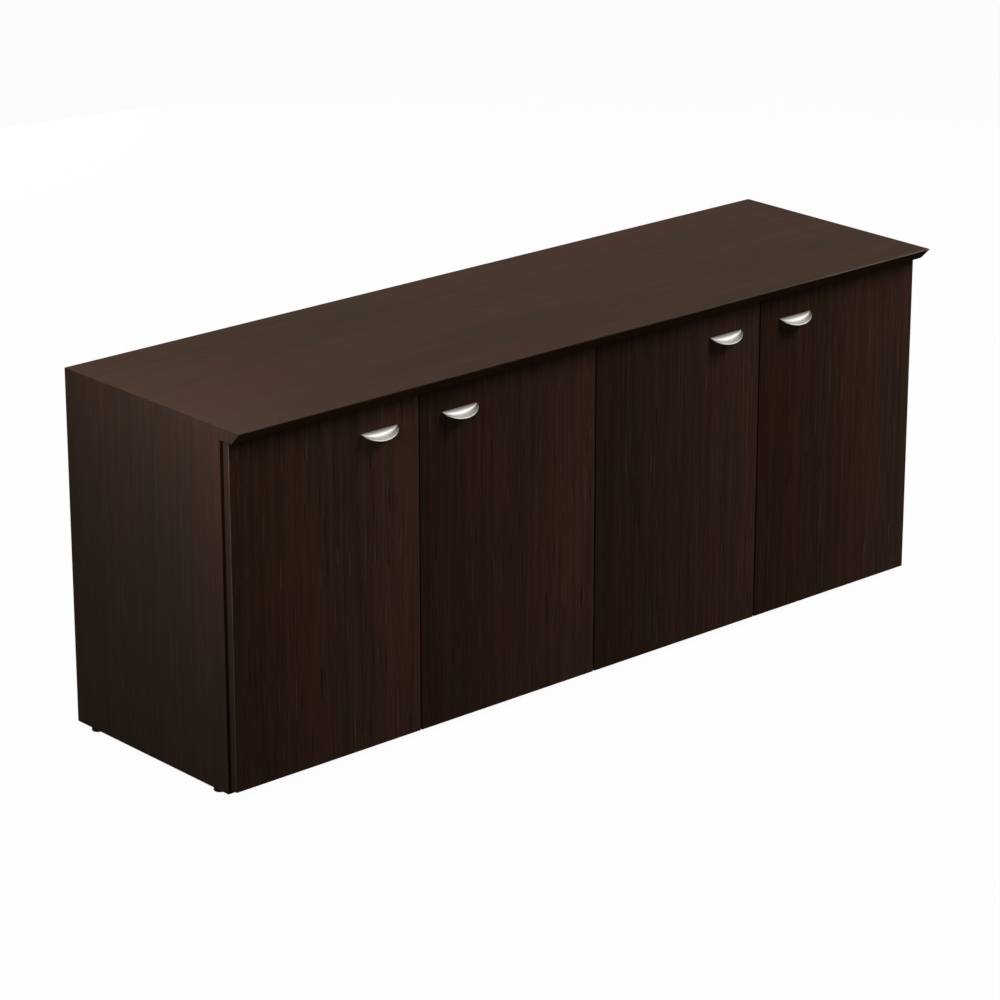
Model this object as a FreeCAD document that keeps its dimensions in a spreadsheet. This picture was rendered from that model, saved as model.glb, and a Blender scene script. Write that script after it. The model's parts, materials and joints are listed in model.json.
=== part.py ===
"""Office credenza with four overlay doors, as a parametric FreeCAD document (millimetres).

Frame: origin on the floor under the middle of the bounding box, +X to the right,
-Y to the front where the doors are, +Z up.
"""
import FreeCAD, Part
import math
import os
import re
import Sketcher

# ------------------------------------------------------------------ driving sizes
SIZES = {
    # whole case
    "overall_width": 1829,
    "overall_height": 731,
    "top_depth": 533,
    "top_thickness": 25,
    "nose_height": 2,            # upright lip left above the top's bevel
    "front_overhang": 57,        # nose of the top to the front edge of the case
    "gable_thickness": 25,
    "partition_thickness": 25,
    "panel_thickness": 19,       # bottoms, rails and shelves
    "back_thickness": 16,
    "back_setback": 8,           # back panels in from the rear edges of the gables
    "bottom_rise": 12,           # underside of the bottoms above the gables' lower edge
    "rail_depth": 90,
    # doors
    "door_thickness": 16,
    "door_standoff": 2,          # back of a door to the front edge of the case
    "door_side_inset": 6,        # outer doors in from the outer faces of the gables
    "door_gap": 3,
    "door_rise": 7.25,           # doors above the gables' lower edge
    "door_top_gap": 3,
    "door_edge_ease": 0.8,
    "bumper_radius": 4.5,
    "bumper_inset": 24,
    # half-moon pulls
    "pull_width": 88,
    "pull_reach": 24,            # front of the lip to the face of the door
    "pull_round": 16.5,          # radius of the round at mid width, and so the drop of the lip
    "pull_taper": 1.2,           # the round shrinks by this power of the reach
    "pull_plate": 2,
    "pull_drop": 51.5,           # straight edge below the top of the door
    "pull_edge_gap": 54,         # end of the pull to the free edge of the door
    "pull_post_radius": 3.6,
    "pull_post_drop": 9.5,
    "pull_post_spacing": 32,
    "pull_screw_radius": 2,
    "pull_screw_grip": 2.9,
    "pull_post_cap": 0.3,        # metal of a post past the end of its thread
    # concealed hinges
    "hinge_inset": 96,           # hinge centre to the upper or lower edge of the door
    "arm_pivot_in": 30,          # fixed pivot, in from the hinge edge of the door
    "arm_pivot_back": 14,        # fixed pivot, behind the front edge of the case
    "cup_pivot_in": 10.5,        # cup pivot, in from the hinge edge of the door
    "cup_pivot_depth": 3,        # cup pivot below the back face of the door
    "neck_depth": 7,             # lowest run of the gooseneck below the door's back face
    "link_plate": 4,
    "link_width": 9,
    "knuckle_radius": 3,
    "hinge_pin_radius": 1.5,
    "arm_width": 14,
    "arm_length": 62,
    "cup_radius": 17.5,
    "cup_depth": 12,
    "cup_wall": 1.2,
    "cup_edge": 4,               # rim of the cup to the hinge edge of the door
    "flange_length": 58,
    "flange_plate": 1,
    "cup_screw_radius": 1.75,
    "cup_screw_offset": 9.5,
    "cup_screw_spacing": 45,
    "plate_setback": 37,         # line of the mounting screws behind the front edge
    "plate_base": 2,
    "plate_depth": 20,
    "plate_length": 48,
    "plate_screw_radius": 2.5,
    "plate_screw_spacing": 32,
    "screw_bite": 11,            # depth of a screw or bolt in the board that receives it
    "screw_head": 1.5,           # height of a flat screw head
    # shelves
    "shelf_setback": 30,
    "shelf_play": 1,
    "shelf_pin_radius": 2.5,
    "shelf_pin_bite": 10,
    "shelf_pin_reach": 9,
    "shelf_pin_row": 64,         # rows of holes in from the front edge and from the back panel
    "shelf_pin_height": 352,     # pins in use, above the gables' lower edge
    "shelf_hole_pitch": 32,
    # knock-down fittings
    "cam_radius": 7.5,
    "cam_backset": 34,
    "cam_cover": 4,              # cam past the bolt's axis
    "bolt_radius": 3.5,
    "bolt_thread_radius": 2.5,
    "dowel_radius": 4,
    "dowel_length": 30,
    "dowel_bite": 10,
    "joint_inset": 80,           # fittings in from the front edge and from the rear edge
    "top_screw_radius": 2,
    # levelling glides
    "glide_reach": 8,            # floor to the gables' lower edge with the glides wound in
    "glide_pad_radius": 12,
    "glide_pad_height": 6,
    "glide_foot_radius": 11,
    "glide_collar_radius": 7,
    "glide_stem_radius": 4,
    "glide_stem_length": 28,
    "glide_inset_front": 42,
    "glide_inset_back": 48,
    "insert_radius": 6,
    "insert_length": 25,
    # clearances
    "seat_play": 0.05,           # radial play of a fixed pin, dowel, bolt or screw
    "turn_play": 0.05,           # radial play of a turning or sliding shaft
    "side_play": 0.4,            # between moving faces
    "bumper_play": 0.3,
    "bottom_play": 1,            # blind hole past the end of what it holds
}

doc = FreeCAD.newDocument("credenza")
dims = doc.addObject("Spreadsheet::Sheet", "dims")
for row, (alias, number) in enumerate(SIZES.items(), start=1):
    dims.set(f"A{row}", alias)
    dims.set(f"B{row}", str(number))
    dims.setAlias(f"B{row}", alias)
doc.recompute()


# ------------------------------------------------------------------ named places
def sized(text):
    """Turn plain size names in an expression into references to the sheet."""
    def refer(found):
        word = found.group()
        return f"dims.{word}" if word in SIZES else word
    return re.sub(r"[A-Za-z_]+", refer, text)


def joined(*parts):
    """Sum of several expressions, each kept whole."""
    return " + ".join(f"( {part} )" for part in parts)


def minus(part):
    """The same distance the other way."""
    return f"-1 * ( {part} )"


def value(text):
    """Number that an expression gives with the sizes in the sheet."""
    return float(dims.evalExpression(sized(text)))


FRONT = "front_overhang - top_depth / 2"                 # front edge of the case, along Y
REAR = "top_depth / 2"
CASE_DEPTH = "top_depth - front_overhang"
FLOOR_EDGE = "glide_reach"                               # lower edge of the gables, along Z
TOP_UNDERSIDE = "overall_height - top_thickness"
GABLE_HEIGHT = "overall_height - top_thickness - glide_reach"
BACK_FACE = "top_depth / 2 - back_setback - back_thickness"   # front face of the back panels
BAY_WIDTH = "overall_width / 2 - gable_thickness - partition_thickness / 2"
BAY_START = {
    "left": "gable_thickness - overall_width / 2",
    "right": "partition_thickness / 2",
}
BOTTOM_LEVEL = joined(FLOOR_EDGE, "bottom_rise")
DOOR_WIDTH = "( overall_width - 2 * door_side_inset - 3 * door_gap ) / 4"
DOOR_HEIGHT = joined(GABLE_HEIGHT, minus("door_rise"), minus("door_top_gap"))
DOOR_LEVEL = joined(FLOOR_EDGE, "door_rise")
DOOR_BACK = joined(FRONT, minus("door_standoff"))
DOOR_FACE = joined(DOOR_BACK, minus("door_thickness"))
CUP_CENTRE = "cup_edge + cup_radius"
HINGE_LEVELS = (
    joined(DOOR_LEVEL, "hinge_inset"),
    joined(DOOR_LEVEL, DOOR_HEIGHT, minus("hinge_inset")),
)
PULL_LEVEL = joined(DOOR_LEVEL, DOOR_HEIGHT, minus("pull_drop"))


def door_left_edge(number):
    """Left edge of a door, counted from 1 at the left end."""
    return f"door_side_inset - overall_width / 2 + {number - 1} * ( {DOOR_WIDTH} + door_gap )"


DOORS = {
    1: {"hinged": "left", "carrier": "gable"},
    2: {"hinged": "right", "carrier": "partition"},
    3: {"hinged": "left", "carrier": "partition"},
    4: {"hinged": "right", "carrier": "gable"},
}
CARRIER_FACE = {
    "gable": "gable_thickness - door_side_inset",
    "partition": "partition_thickness / 2 - door_gap / 2",
}


def hinge_edge(number):
    """Edge of a door that its hinges are on."""
    if DOORS[number]["hinged"] == "left":
        return door_left_edge(number)
    return joined(door_left_edge(number), DOOR_WIDTH)


# ------------------------------------------------------------------ modelling helpers
PARTS = []
SAME_PLACE = 1e-4
UPRIGHT = FreeCAD.Rotation()
TURNED = FreeCAD.Rotation(FreeCAD.Vector(0, 1, 0), 180)
HALF_TURN = FreeCAD.Rotation(FreeCAD.Vector(0, 0, 1), 180)
AXIS_TURN = {
    "x": FreeCAD.Rotation(FreeCAD.Vector(0, 1, 0), 90),
    "y": FreeCAD.Rotation(FreeCAD.Vector(1, 0, 0), -90),
    "z": UPRIGHT,
}


def bind(thing, **expressions):
    """Tie properties of an object to the sizes in the sheet."""
    for name, text in expressions.items():
        thing.setExpression(name, sized(text))


def place(thing, x="0", y="0", z="0", turn=UPRIGHT):
    """Set an object's place from expressions, with a fixed turn."""
    thing.Placement = FreeCAD.Placement(FreeCAD.Vector(0, 0, 0), turn)
    for axis, text in zip("xyz", (x, y, z)):
        thing.setExpression(f"Placement.Base.{axis}", sized(text))


def piece(thing, label):
    """Name a finished sub-part and put it on the list of parts."""
    thing.Label = label
    PARTS.append(thing)
    return thing


def box(name, corner, size, turn=UPRIGHT):
    """Block from its low corner and its three lengths."""
    block = doc.addObject("Part::Box", name)
    bind(block, Length=size[0], Width=size[1], Height=size[2])
    place(block, *corner, turn=turn)
    return block


def rod(name, start, axis, radius, length):
    """Round bar from the centre of its low end, along x, y or z."""
    bar = doc.addObject("Part::Cylinder", name)
    bind(bar, Radius=radius, Height=length)
    place(bar, *start, turn=AXIS_TURN[axis])
    return bar


def fuse(name, things):
    """Union of several solids, or a group of separate ones."""
    if len(things) == 1:
        return things[0]
    union = doc.addObject("Part::MultiFuse", name)
    union.Shapes = things
    return union


def cut(name, base, tools):
    """Base with every tool taken out of it."""
    result = doc.addObject("Part::Cut", name)
    result.Base = base
    result.Tool = fuse(f"{name}_tools", tools)
    return result


def group(label, things):
    """Separate identical pieces that share one node."""
    bundle = doc.addObject("Part::Compound", label)
    bundle.Links = things
    return piece(bundle, label)


def new_body(name):
    """Empty PartDesign body."""
    return doc.addObject("PartDesign::Body", name)


def new_sketch(body, name, role, offset=None):
    """Sketch on one of the body's own origin planes, moved out along its normal."""
    sketch = body.newObject("Sketcher::SketchObject", name)
    plane = [item for item in body.Origin.OriginFeatures if item.Role == role][0]
    sketch.AttachmentSupport = [(plane, "")]
    sketch.MapMode = "FlatFace"
    if offset is not None:
        sketch.setExpression("AttachmentOffset.Base.z", sized(offset))
    return sketch


def pin_point(sketch, geometry, point, x, y):
    """Hold one point of a sketch at two named distances from the origin."""
    for kind, text, axis in (("DistanceX", x, -2), ("DistanceY", y, -1)):
        if text == "0":
            sketch.addConstraint(Sketcher.Constraint("PointOnObject", geometry, point, axis))
        else:
            row = sketch.addConstraint(Sketcher.Constraint(kind, -1, 1, geometry, point, value(text)))
            sketch.setExpression(f"Constraints[{row}]", sized(text))


def draw_outline(sketch, points):
    """Closed outline of straight lines through named points."""
    corners = [FreeCAD.Vector(value(x), value(y), 0) for x, y in points]
    count = len(points)
    for index in range(count):
        sketch.addGeometry(Part.LineSegment(corners[index], corners[(index + 1) % count]), False)
    for index in range(count):
        following = (index + 1) % count
        sketch.addConstraint(Sketcher.Constraint("Coincident", index, 2, following, 1))
    for index, (x, y) in enumerate(points):
        pin_point(sketch, index, 1, x, y)


def draw_circles(sketch, centres, radius):
    """Equal circles at named centres."""
    for x, y in centres:
        centre = FreeCAD.Vector(value(x), value(y), 0)
        circle = Part.Circle(centre, FreeCAD.Vector(0, 0, 1), value(radius))
        index = sketch.addGeometry(circle, False)
        row = sketch.addConstraint(Sketcher.Constraint("Radius", index, value(radius)))
        sketch.setExpression(f"Constraints[{row}]", sized(radius))
        pin_point(sketch, index, 3, x, y)


def pad(body, sketch, name, length, midplane=False):
    """Solid from a sketch."""
    feature = body.newObject("PartDesign::Pad", name)
    feature.Profile = sketch
    feature.Midplane = midplane
    bind(feature, Length=length)
    sketch.Visibility = False
    return feature


def sink(body, sketch, name, depth):
    """Pocket that runs the way the pads do, and must take material away."""
    doc.recompute()
    before = body.Shape.Volume
    feature = body.newObject("PartDesign::Pocket", name)
    feature.Profile = sketch
    feature.Reversed = True
    bind(feature, Length=depth)
    doc.recompute()
    if body.Shape.Volume >= before:
        raise RuntimeError(f"{name} cuts nothing")
    return feature


def shifted(point, axis, text):
    """Point moved along x, y or z by an expression."""
    index = "xyz".index(axis)
    return tuple(joined(part, text) if spot == index else part for spot, part in enumerate(point))


def reach(name, point, heading, near, far, radius):
    """Round bar from near to far, both measured from a point along a heading such as +x or -z."""
    sign, axis = heading
    if sign == "+":
        low = shifted(point, axis, near)
    else:
        low = shifted(point, axis, minus(far))
    return rod(name, low, axis, radius, joined(far, minus(near)))


def moved(point, heading, text):
    """Point moved by an expression along a heading such as +x or -z."""
    sign, axis = heading
    return shifted(point, axis, text if sign == "+" else minus(text))


# ------------------------------------------------------------------ knock-down fittings
CAMS = []
BOLTS = []
DOWELS = []
BORES = {}


def bore(board, tool):
    """Keep a tool that is to be taken out of a board."""
    BORES.setdefault(board, []).append(tool)


def cam_joint(name, fitted, receiver, point, heading, mouth, thickness):
    """Cam lock and bolt that pull the end of one board against another.

    The bolt crosses the joint at point and screws into the receiver along its heading.
    The cam turns in a bore of the fitted board that opens the way mouth says.
    """
    centre = moved(point, heading, "-1 * cam_backset")
    lock = reach(f"{name}_lock", centre, mouth, "-1 * cam_cover", f"{thickness} / 2", "cam_radius")
    slot = reach(f"{name}_slot", centre, heading, "0", "2 * cam_radius", "bolt_radius + seat_play")
    CAMS.append(cut(f"{name}_cam", lock, [slot]))
    shank_start = "cam_radius / 2 - cam_backset"
    shank = reach(f"{name}_shank", point, heading, shank_start, "0", "bolt_radius")
    thread = reach(f"{name}_thread", point, heading, "0", "screw_bite", "bolt_thread_radius")
    BOLTS.append(fuse(f"{name}_bolt", [shank, thread]))
    cam_radius = "cam_radius + seat_play"
    bore(fitted, reach(f"{name}_cam_bore", centre, mouth, "-1 * cam_cover", f"{thickness} / 2", cam_radius))
    shank_radius = "bolt_radius + seat_play"
    bore(fitted, reach(f"{name}_shank_bore", centre, heading, "0", "cam_backset", shank_radius))
    thread_radius = "bolt_thread_radius + seat_play"
    thread_depth = "screw_bite + bottom_play"
    bore(receiver, reach(f"{name}_thread_bore", point, heading, "0", thread_depth, thread_radius))


def dowel_joint(name, fitted, receiver, point, heading):
    """Wooden dowel across a joint, with its shorter end in the receiver."""
    buried = "dowel_bite - dowel_length"
    radius = "dowel_radius + seat_play"
    DOWELS.append(reach(f"{name}_dowel", point, heading, buried, "dowel_bite", "dowel_radius"))
    bore(fitted, reach(f"{name}_long_bore", point, heading, f"{buried} - bottom_play", "0", radius))
    bore(receiver, reach(f"{name}_short_bore", point, heading, "0", "dowel_bite + bottom_play", radius))


SIDES = {
    "left": {"gable": "left_gable", "out": "-x", "in": "+x"},
    "right": {"gable": "right_gable", "out": "+x", "in": "-x"},
}
FITTING_ROWS = {
    "front": joined(FRONT, "joint_inset"),
    "rear": joined(BACK_FACE, minus("joint_inset")),
}


def bay_ends(side):
    """Both ends of a bay: the receiving board, the heading into it and the joint's place."""
    start = BAY_START[side]
    end = joined(start, BAY_WIDTH)
    if side == "left":
        return (("left_gable", "-x", start), ("centre_partition", "+x", end))
    return (("centre_partition", "-x", start), ("right_gable", "+x", end))


# ------------------------------------------------------------------ boards of the case
def make_top():
    """Top with a reverse knife bevel under its front edge."""
    body = new_body("top_blank")
    sketch = new_sketch(body, "top_section", "YZ_Plane")
    bevel = "top_thickness - nose_height"
    draw_outline(sketch, [
        ("0", "0"),
        (f"top_depth - ( {bevel} )", "0"),
        ("top_depth", bevel),
        ("top_depth", "top_thickness"),
        ("0", "top_thickness"),
    ])
    pad(body, sketch, "top_board", "overall_width", midplane=True)
    rearward = FreeCAD.Rotation(FreeCAD.Vector(0, 0, 1), 180)
    place(body, "0", REAR, TOP_UNDERSIDE, turn=rearward)
    return body


def make_boards():
    """Uprights, bottoms, backs, rails and shelves as plain blocks, before their bores."""
    boards = {}

    def board(name, x, y, z, size):
        boards[name] = box(f"{name}_blank", (x, y, z), size)

    upright = (CASE_DEPTH, GABLE_HEIGHT)
    board("left_gable", "-1 * overall_width / 2", FRONT, FLOOR_EDGE, ("gable_thickness", *upright))
    right_face = joined(BAY_START["right"], BAY_WIDTH)
    board("right_gable", right_face, FRONT, FLOOR_EDGE, ("gable_thickness", *upright))
    half_partition = "-1 * partition_thickness / 2"
    board("centre_partition", half_partition, FRONT, FLOOR_EDGE, ("partition_thickness", *upright))
    for side in SIDES:
        start = BAY_START[side]
        bottom_depth = joined(BACK_FACE, minus(FRONT))
        bottom_size = (BAY_WIDTH, bottom_depth, "panel_thickness")
        board(f"{side}_bottom_panel", start, FRONT, BOTTOM_LEVEL, bottom_size)
        back_height = joined(TOP_UNDERSIDE, minus(BOTTOM_LEVEL))
        back_size = (BAY_WIDTH, "back_thickness", back_height)
        board(f"{side}_back_panel", start, BACK_FACE, BOTTOM_LEVEL, back_size)
        rail_level = joined(TOP_UNDERSIDE, minus("panel_thickness"))
        board(f"{side}_front_rail", start, FRONT, rail_level, (BAY_WIDTH, "rail_depth", "panel_thickness"))
    return boards


def join_boards():
    """Cams, bolts, dowels and screws that hold the case together."""
    for side in SIDES:
        bottom = f"{side}_bottom_panel"
        back = f"{side}_back_panel"
        rail = f"{side}_front_rail"
        bottom_middle = joined(BOTTOM_LEVEL, "panel_thickness / 2")
        rail_middle = joined(TOP_UNDERSIDE, "-1 * panel_thickness / 2")
        back_middle = joined(BACK_FACE, "back_thickness / 2")
        for upright, heading, x in bay_ends(side):
            tag = f"{side}_{upright}"
            for row, y in FITTING_ROWS.items():
                point = (x, y, bottom_middle)
                cam_joint(f"{tag}_bottom_{row}", bottom, upright, point, heading, "-z", "panel_thickness")
            middle = joined(FRONT, f"( {CASE_DEPTH} ) / 2")
            dowel_joint(f"{tag}_bottom", bottom, upright, (x, middle, bottom_middle), heading)
            rail_cam = (x, joined(FRONT, "2 * rail_depth / 3"), rail_middle)
            cam_joint(f"{tag}_rail", rail, upright, rail_cam, heading, "-z", "panel_thickness")
            rail_dowel = (x, joined(FRONT, "rail_depth / 4"), rail_middle)
            dowel_joint(f"{tag}_rail", rail, upright, rail_dowel, heading)
            for level, part in (("low", "1 / 4"), ("high", "3 / 4")):
                z = joined(BOTTOM_LEVEL, f"( {TOP_UNDERSIDE} - ( {BOTTOM_LEVEL} ) ) * {part}")
                dowel_joint(f"{tag}_back_{level}", back, upright, (x, back_middle, z), heading)
    uprights = (
        ("left_gable", "+x", "gable_thickness", "( gable_thickness - overall_width ) / 2"),
        ("centre_partition", "+x", "partition_thickness", "0"),
        ("right_gable", "-x", "gable_thickness", "( overall_width - gable_thickness ) / 2"),
    )
    top_rows = {
        "front": joined(FRONT, "rail_depth", "joint_inset / 2"),
        "rear": joined(BACK_FACE, minus("joint_inset")),
    }
    for upright, mouth, thickness, x in uprights:
        for row, y in top_rows.items():
            point = (x, y, TOP_UNDERSIDE)
            cam_joint(f"{upright}_top_{row}", upright, "top_panel", point, "+z", mouth, thickness)


TOP_SCREWS = []


def screw_rails_to_top():
    """Two screws through each front rail up into the top."""
    for side in SIDES:
        for part in ("1 / 4", "3 / 4"):
            x = joined(BAY_START[side], f"( {BAY_WIDTH} ) * {part}")
            y = joined(FRONT, "rail_depth / 2")
            point = (x, y, joined(TOP_UNDERSIDE, "-1 * panel_thickness"))
            name = f"{side}_top_screw_{part[0]}"
            head = reach(f"{name}_head", point, "-z", "0", "screw_head", "2 * top_screw_radius")
            depth = "panel_thickness + screw_bite"
            shank = reach(f"{name}_shank", point, "+z", "0", depth, "top_screw_radius")
            TOP_SCREWS.append(fuse(name, [head, shank]))
            radius = "top_screw_radius + seat_play"
            through_rail = reach(f"{name}_rail_bore", point, "+z", "0", "panel_thickness", radius)
            bore(f"{side}_front_rail", through_rail)
            into_top = moved(point, "+z", "panel_thickness")
            bore_depth = "screw_bite + bottom_play"
            bore("top_panel", reach(f"{name}_top_bore", into_top, "+z", "0", bore_depth, radius))


# ------------------------------------------------------------------ shelves and their pins
SHELF_PINS = []
SHELF_LEVEL = joined(FLOOR_EDGE, "shelf_pin_height", "shelf_pin_radius")
PIN_ROWS = {
    "front": joined(FRONT, "shelf_pin_row"),
    "rear": joined(BACK_FACE, minus("shelf_pin_row")),
}


def make_shelves():
    """One loose shelf in each bay, on four pins in rows of holes."""
    for side in SIDES:
        x = joined(BAY_START[side], "shelf_play")
        width = joined(BAY_WIDTH, "-2 * shelf_play")
        y = joined(FRONT, "shelf_setback")
        depth = joined(BACK_FACE, minus(FRONT), "-1 * shelf_setback", "-1 * shelf_play")
        shelf = box(f"{side}_shelf", (x, y, SHELF_LEVEL), (width, depth, "panel_thickness"))
        piece(shelf, f"{side}_shelf")
        for upright, heading, end in bay_ends(side):
            for row, pin_y in PIN_ROWS.items():
                point = (end, pin_y, joined(FLOOR_EDGE, "shelf_pin_height"))
                name = f"{side}_{upright}_{row}_pin"
                tip = "-1 * shelf_pin_reach"
                SHELF_PINS.append(reach(name, point, heading, tip, "shelf_pin_bite", "shelf_pin_radius"))
                for step in range(-2, 3):
                    hole = moved(point, "+z", f"{step} * shelf_hole_pitch")
                    depth_in = "shelf_pin_bite + bottom_play"
                    radius = "shelf_pin_radius + seat_play"
                    bore(upright, reach(f"{name}_hole_{step + 3}", hole, heading, "0", depth_in, radius))


# ------------------------------------------------------------------ concealed hinges
CUP_PIVOT = ("cup_pivot_in", "-1 * door_standoff - cup_pivot_depth", "0")
ARM_PIVOT = ("arm_pivot_in", "arm_pivot_back", "0")
ARM_PINS = []
PLATE_SCREWS = []


def set_hinge(thing, number, level):
    """Move a hinge piece from its own frame, hinge edge and case front, to its door."""
    turn = UPRIGHT if DOORS[number]["hinged"] == "left" else TURNED
    place(thing, hinge_edge(number), FRONT, HINGE_LEVELS[level], turn=turn)
    return thing


def across(name, pivot, radius, width):
    """Upright bar centred on a pivot."""
    return rod(name, (pivot[0], pivot[1], f"-1 * ( {width} ) / 2"), "z", radius, width)


def make_cup(name):
    """Pressed cup with its screw flange and the pivot pin riveted across it."""
    mouth = (CUP_CENTRE, "-1 * door_standoff", "0")
    shell = reach(f"{name}_shell", mouth, "-y", "0", "cup_depth", "cup_radius")
    corner = (CUP_CENTRE, "-1 * door_standoff", "-1 * flange_length / 2")
    flange = box(f"{name}_flange", corner, ("2 * cup_screw_offset", "flange_plate", "flange_length"))
    inner_radius = "cup_radius - cup_wall"
    hollow = reach(f"{name}_hollow", mouth, "-y", "-1 * flange_plate", "cup_depth - cup_wall", inner_radius)
    tools = [hollow]
    for index, point in enumerate(cup_screw_points()):
        radius = "cup_screw_radius + seat_play"
        tools.append(reach(f"{name}_screw_hole_{index}", point, "-y", "-1 * flange_plate", "0", radius))
    pressing = cut(f"{name}_pressing", fuse(f"{name}_blank", [shell, flange]), tools)
    far_side = f"{CUP_CENTRE} - cup_pivot_in + hinge_pin_radius"
    half_pin = f"sqrt((cup_radius - cup_wall / 2) ^ 2 - ({far_side}) ^ 2)"
    pin = across(f"{name}_pin", CUP_PIVOT, "hinge_pin_radius", f"2 * {half_pin}")
    return fuse(name, [pressing, pin])


def cup_screw_points():
    """Places of the two flange screws, on the back face of the door."""
    x = joined(CUP_CENTRE, "cup_screw_offset")
    return [(x, "-1 * door_standoff", f"{side} * cup_screw_spacing / 2") for side in (-1, 1)]


def make_cup_screws(name):
    """Two flat-headed screws through the flange into the door."""
    screws = []
    for index, point in enumerate(cup_screw_points()):
        top = moved(point, "+y", "flange_plate")
        head = reach(f"{name}_{index}_head", top, "+y", "0", "flange_plate", "2 * cup_screw_radius")
        depth = "flange_plate + screw_bite"
        shank = reach(f"{name}_{index}_shank", top, "-y", "0", depth, "cup_screw_radius")
        screws.append(fuse(f"{name}_{index}", [head, shank]))
    return fuse(name, screws)


def make_link(name):
    """Gooseneck link from the arm's pivot, down round the gable's edge, to the cup's pivot."""
    half = "link_plate / 2"
    low = "-1 * link_width / 2"
    neck = "-1 * door_standoff - neck_depth"
    shapes = []
    for pivot, part in ((CUP_PIVOT, "foot"), (ARM_PIVOT, "riser")):
        corner = (f"{pivot[0]} - {half}", f"{neck} - {half}", low)
        height = f"{pivot[1]} - ({neck}) + {half}"
        shapes.append(box(f"{name}_{part}", corner, ("link_plate", height, "link_width")))
        shapes.append(across(f"{name}_{part}_knuckle", pivot, "knuckle_radius", "link_width"))
    corner = (f"cup_pivot_in - {half}", f"{neck} - {half}", low)
    length = "arm_pivot_in - cup_pivot_in + link_plate"
    shapes.append(box(f"{name}_neck", corner, (length, "link_plate", "link_width")))
    bores = []
    for pivot, part in ((CUP_PIVOT, "cup"), (ARM_PIVOT, "arm")):
        bores.append(across(f"{name}_{part}_bore", pivot, "hinge_pin_radius + turn_play", "link_width"))
    return cut(name, fuse(f"{name}_blank", shapes), bores)


def make_arm(name):
    """Arm with a forked head that holds the link's fixed pivot."""
    low = "-1 * arm_width / 2"
    left = "arm_pivot_in - knuckle_radius"
    bar = box(f"{name}_bar", (left, "arm_pivot_back", low), ("2 * knuckle_radius", "arm_length", "arm_width"))
    head = across(f"{name}_head", ARM_PIVOT, "knuckle_radius", "arm_width")
    gap = "link_width / 2 + side_play"
    slot_corner = (left, "arm_pivot_back - knuckle_radius", f"-1 * ({gap})")
    slot_length = "2 * knuckle_radius + side_play"
    slot = box(f"{name}_slot", slot_corner, ("2 * knuckle_radius", slot_length, f"2 * ({gap})"))
    pin_hole = across(f"{name}_pin_hole", ARM_PIVOT, "hinge_pin_radius + seat_play", "arm_width")
    return cut(name, fuse(f"{name}_blank", [bar, head]), [slot, pin_hole])


def make_plate(name, carrier):
    """Mounting plate that packs the arm out from the face of its gable or partition."""
    face = CARRIER_FACE[carrier]
    start = "plate_setback - plate_depth / 2"
    base_corner = (face, start, "-1 * plate_length / 2")
    base = box(f"{name}_base", base_corner, ("plate_base", "plate_depth", "plate_length"))
    block_height = f"arm_pivot_in - knuckle_radius - ({face})"
    block_length = f"arm_pivot_back + arm_length - ({start})"
    block_corner = (face, start, "-1 * arm_width / 2")
    block = box(f"{name}_block", block_corner, (block_height, block_length, "arm_width"))
    holes = []
    for side in (-1, 1):
        point = (face, "plate_setback", f"{side} * plate_screw_spacing / 2")
        radius = "plate_screw_radius + seat_play"
        holes.append(reach(f"{name}_hole_{side + 1}", point, "+x", "0", "plate_base", radius))
    return cut(name, fuse(f"{name}_blank", [base, block]), holes)


def make_plate_screws(number, level):
    """Two screws that hold a mounting plate to its gable or partition."""
    left_hinged = DOORS[number]["hinged"] == "left"
    carrier = DOORS[number]["carrier"]
    inward, outward = ("+x", "-x") if left_hinged else ("-x", "+x")
    board = "centre_partition" if carrier == "partition" else ("left_gable" if left_hinged else "right_gable")
    for side in (-1, 1):
        z = joined(HINGE_LEVELS[level], f"{side} * plate_screw_spacing / 2")
        on_edge = (hinge_edge(number), joined(FRONT, "plate_setback"), z)
        on_board = moved(on_edge, inward, CARRIER_FACE[carrier])
        on_plate = moved(on_board, inward, "plate_base")
        name = f"door_{number}_plate_screw_{level}_{side + 1}"
        head = reach(f"{name}_head", on_plate, inward, "0", "screw_head", "1.8 * plate_screw_radius")
        depth = "plate_base + screw_bite"
        shank = reach(f"{name}_shank", on_plate, outward, "0", depth, "plate_screw_radius")
        PLATE_SCREWS.append(fuse(name, [head, shank]))
        radius = "plate_screw_radius + seat_play"
        depth = "screw_bite + bottom_play / 2"
        bore(board, reach(f"{name}_bore", on_board, outward, "0", depth, radius))


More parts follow.
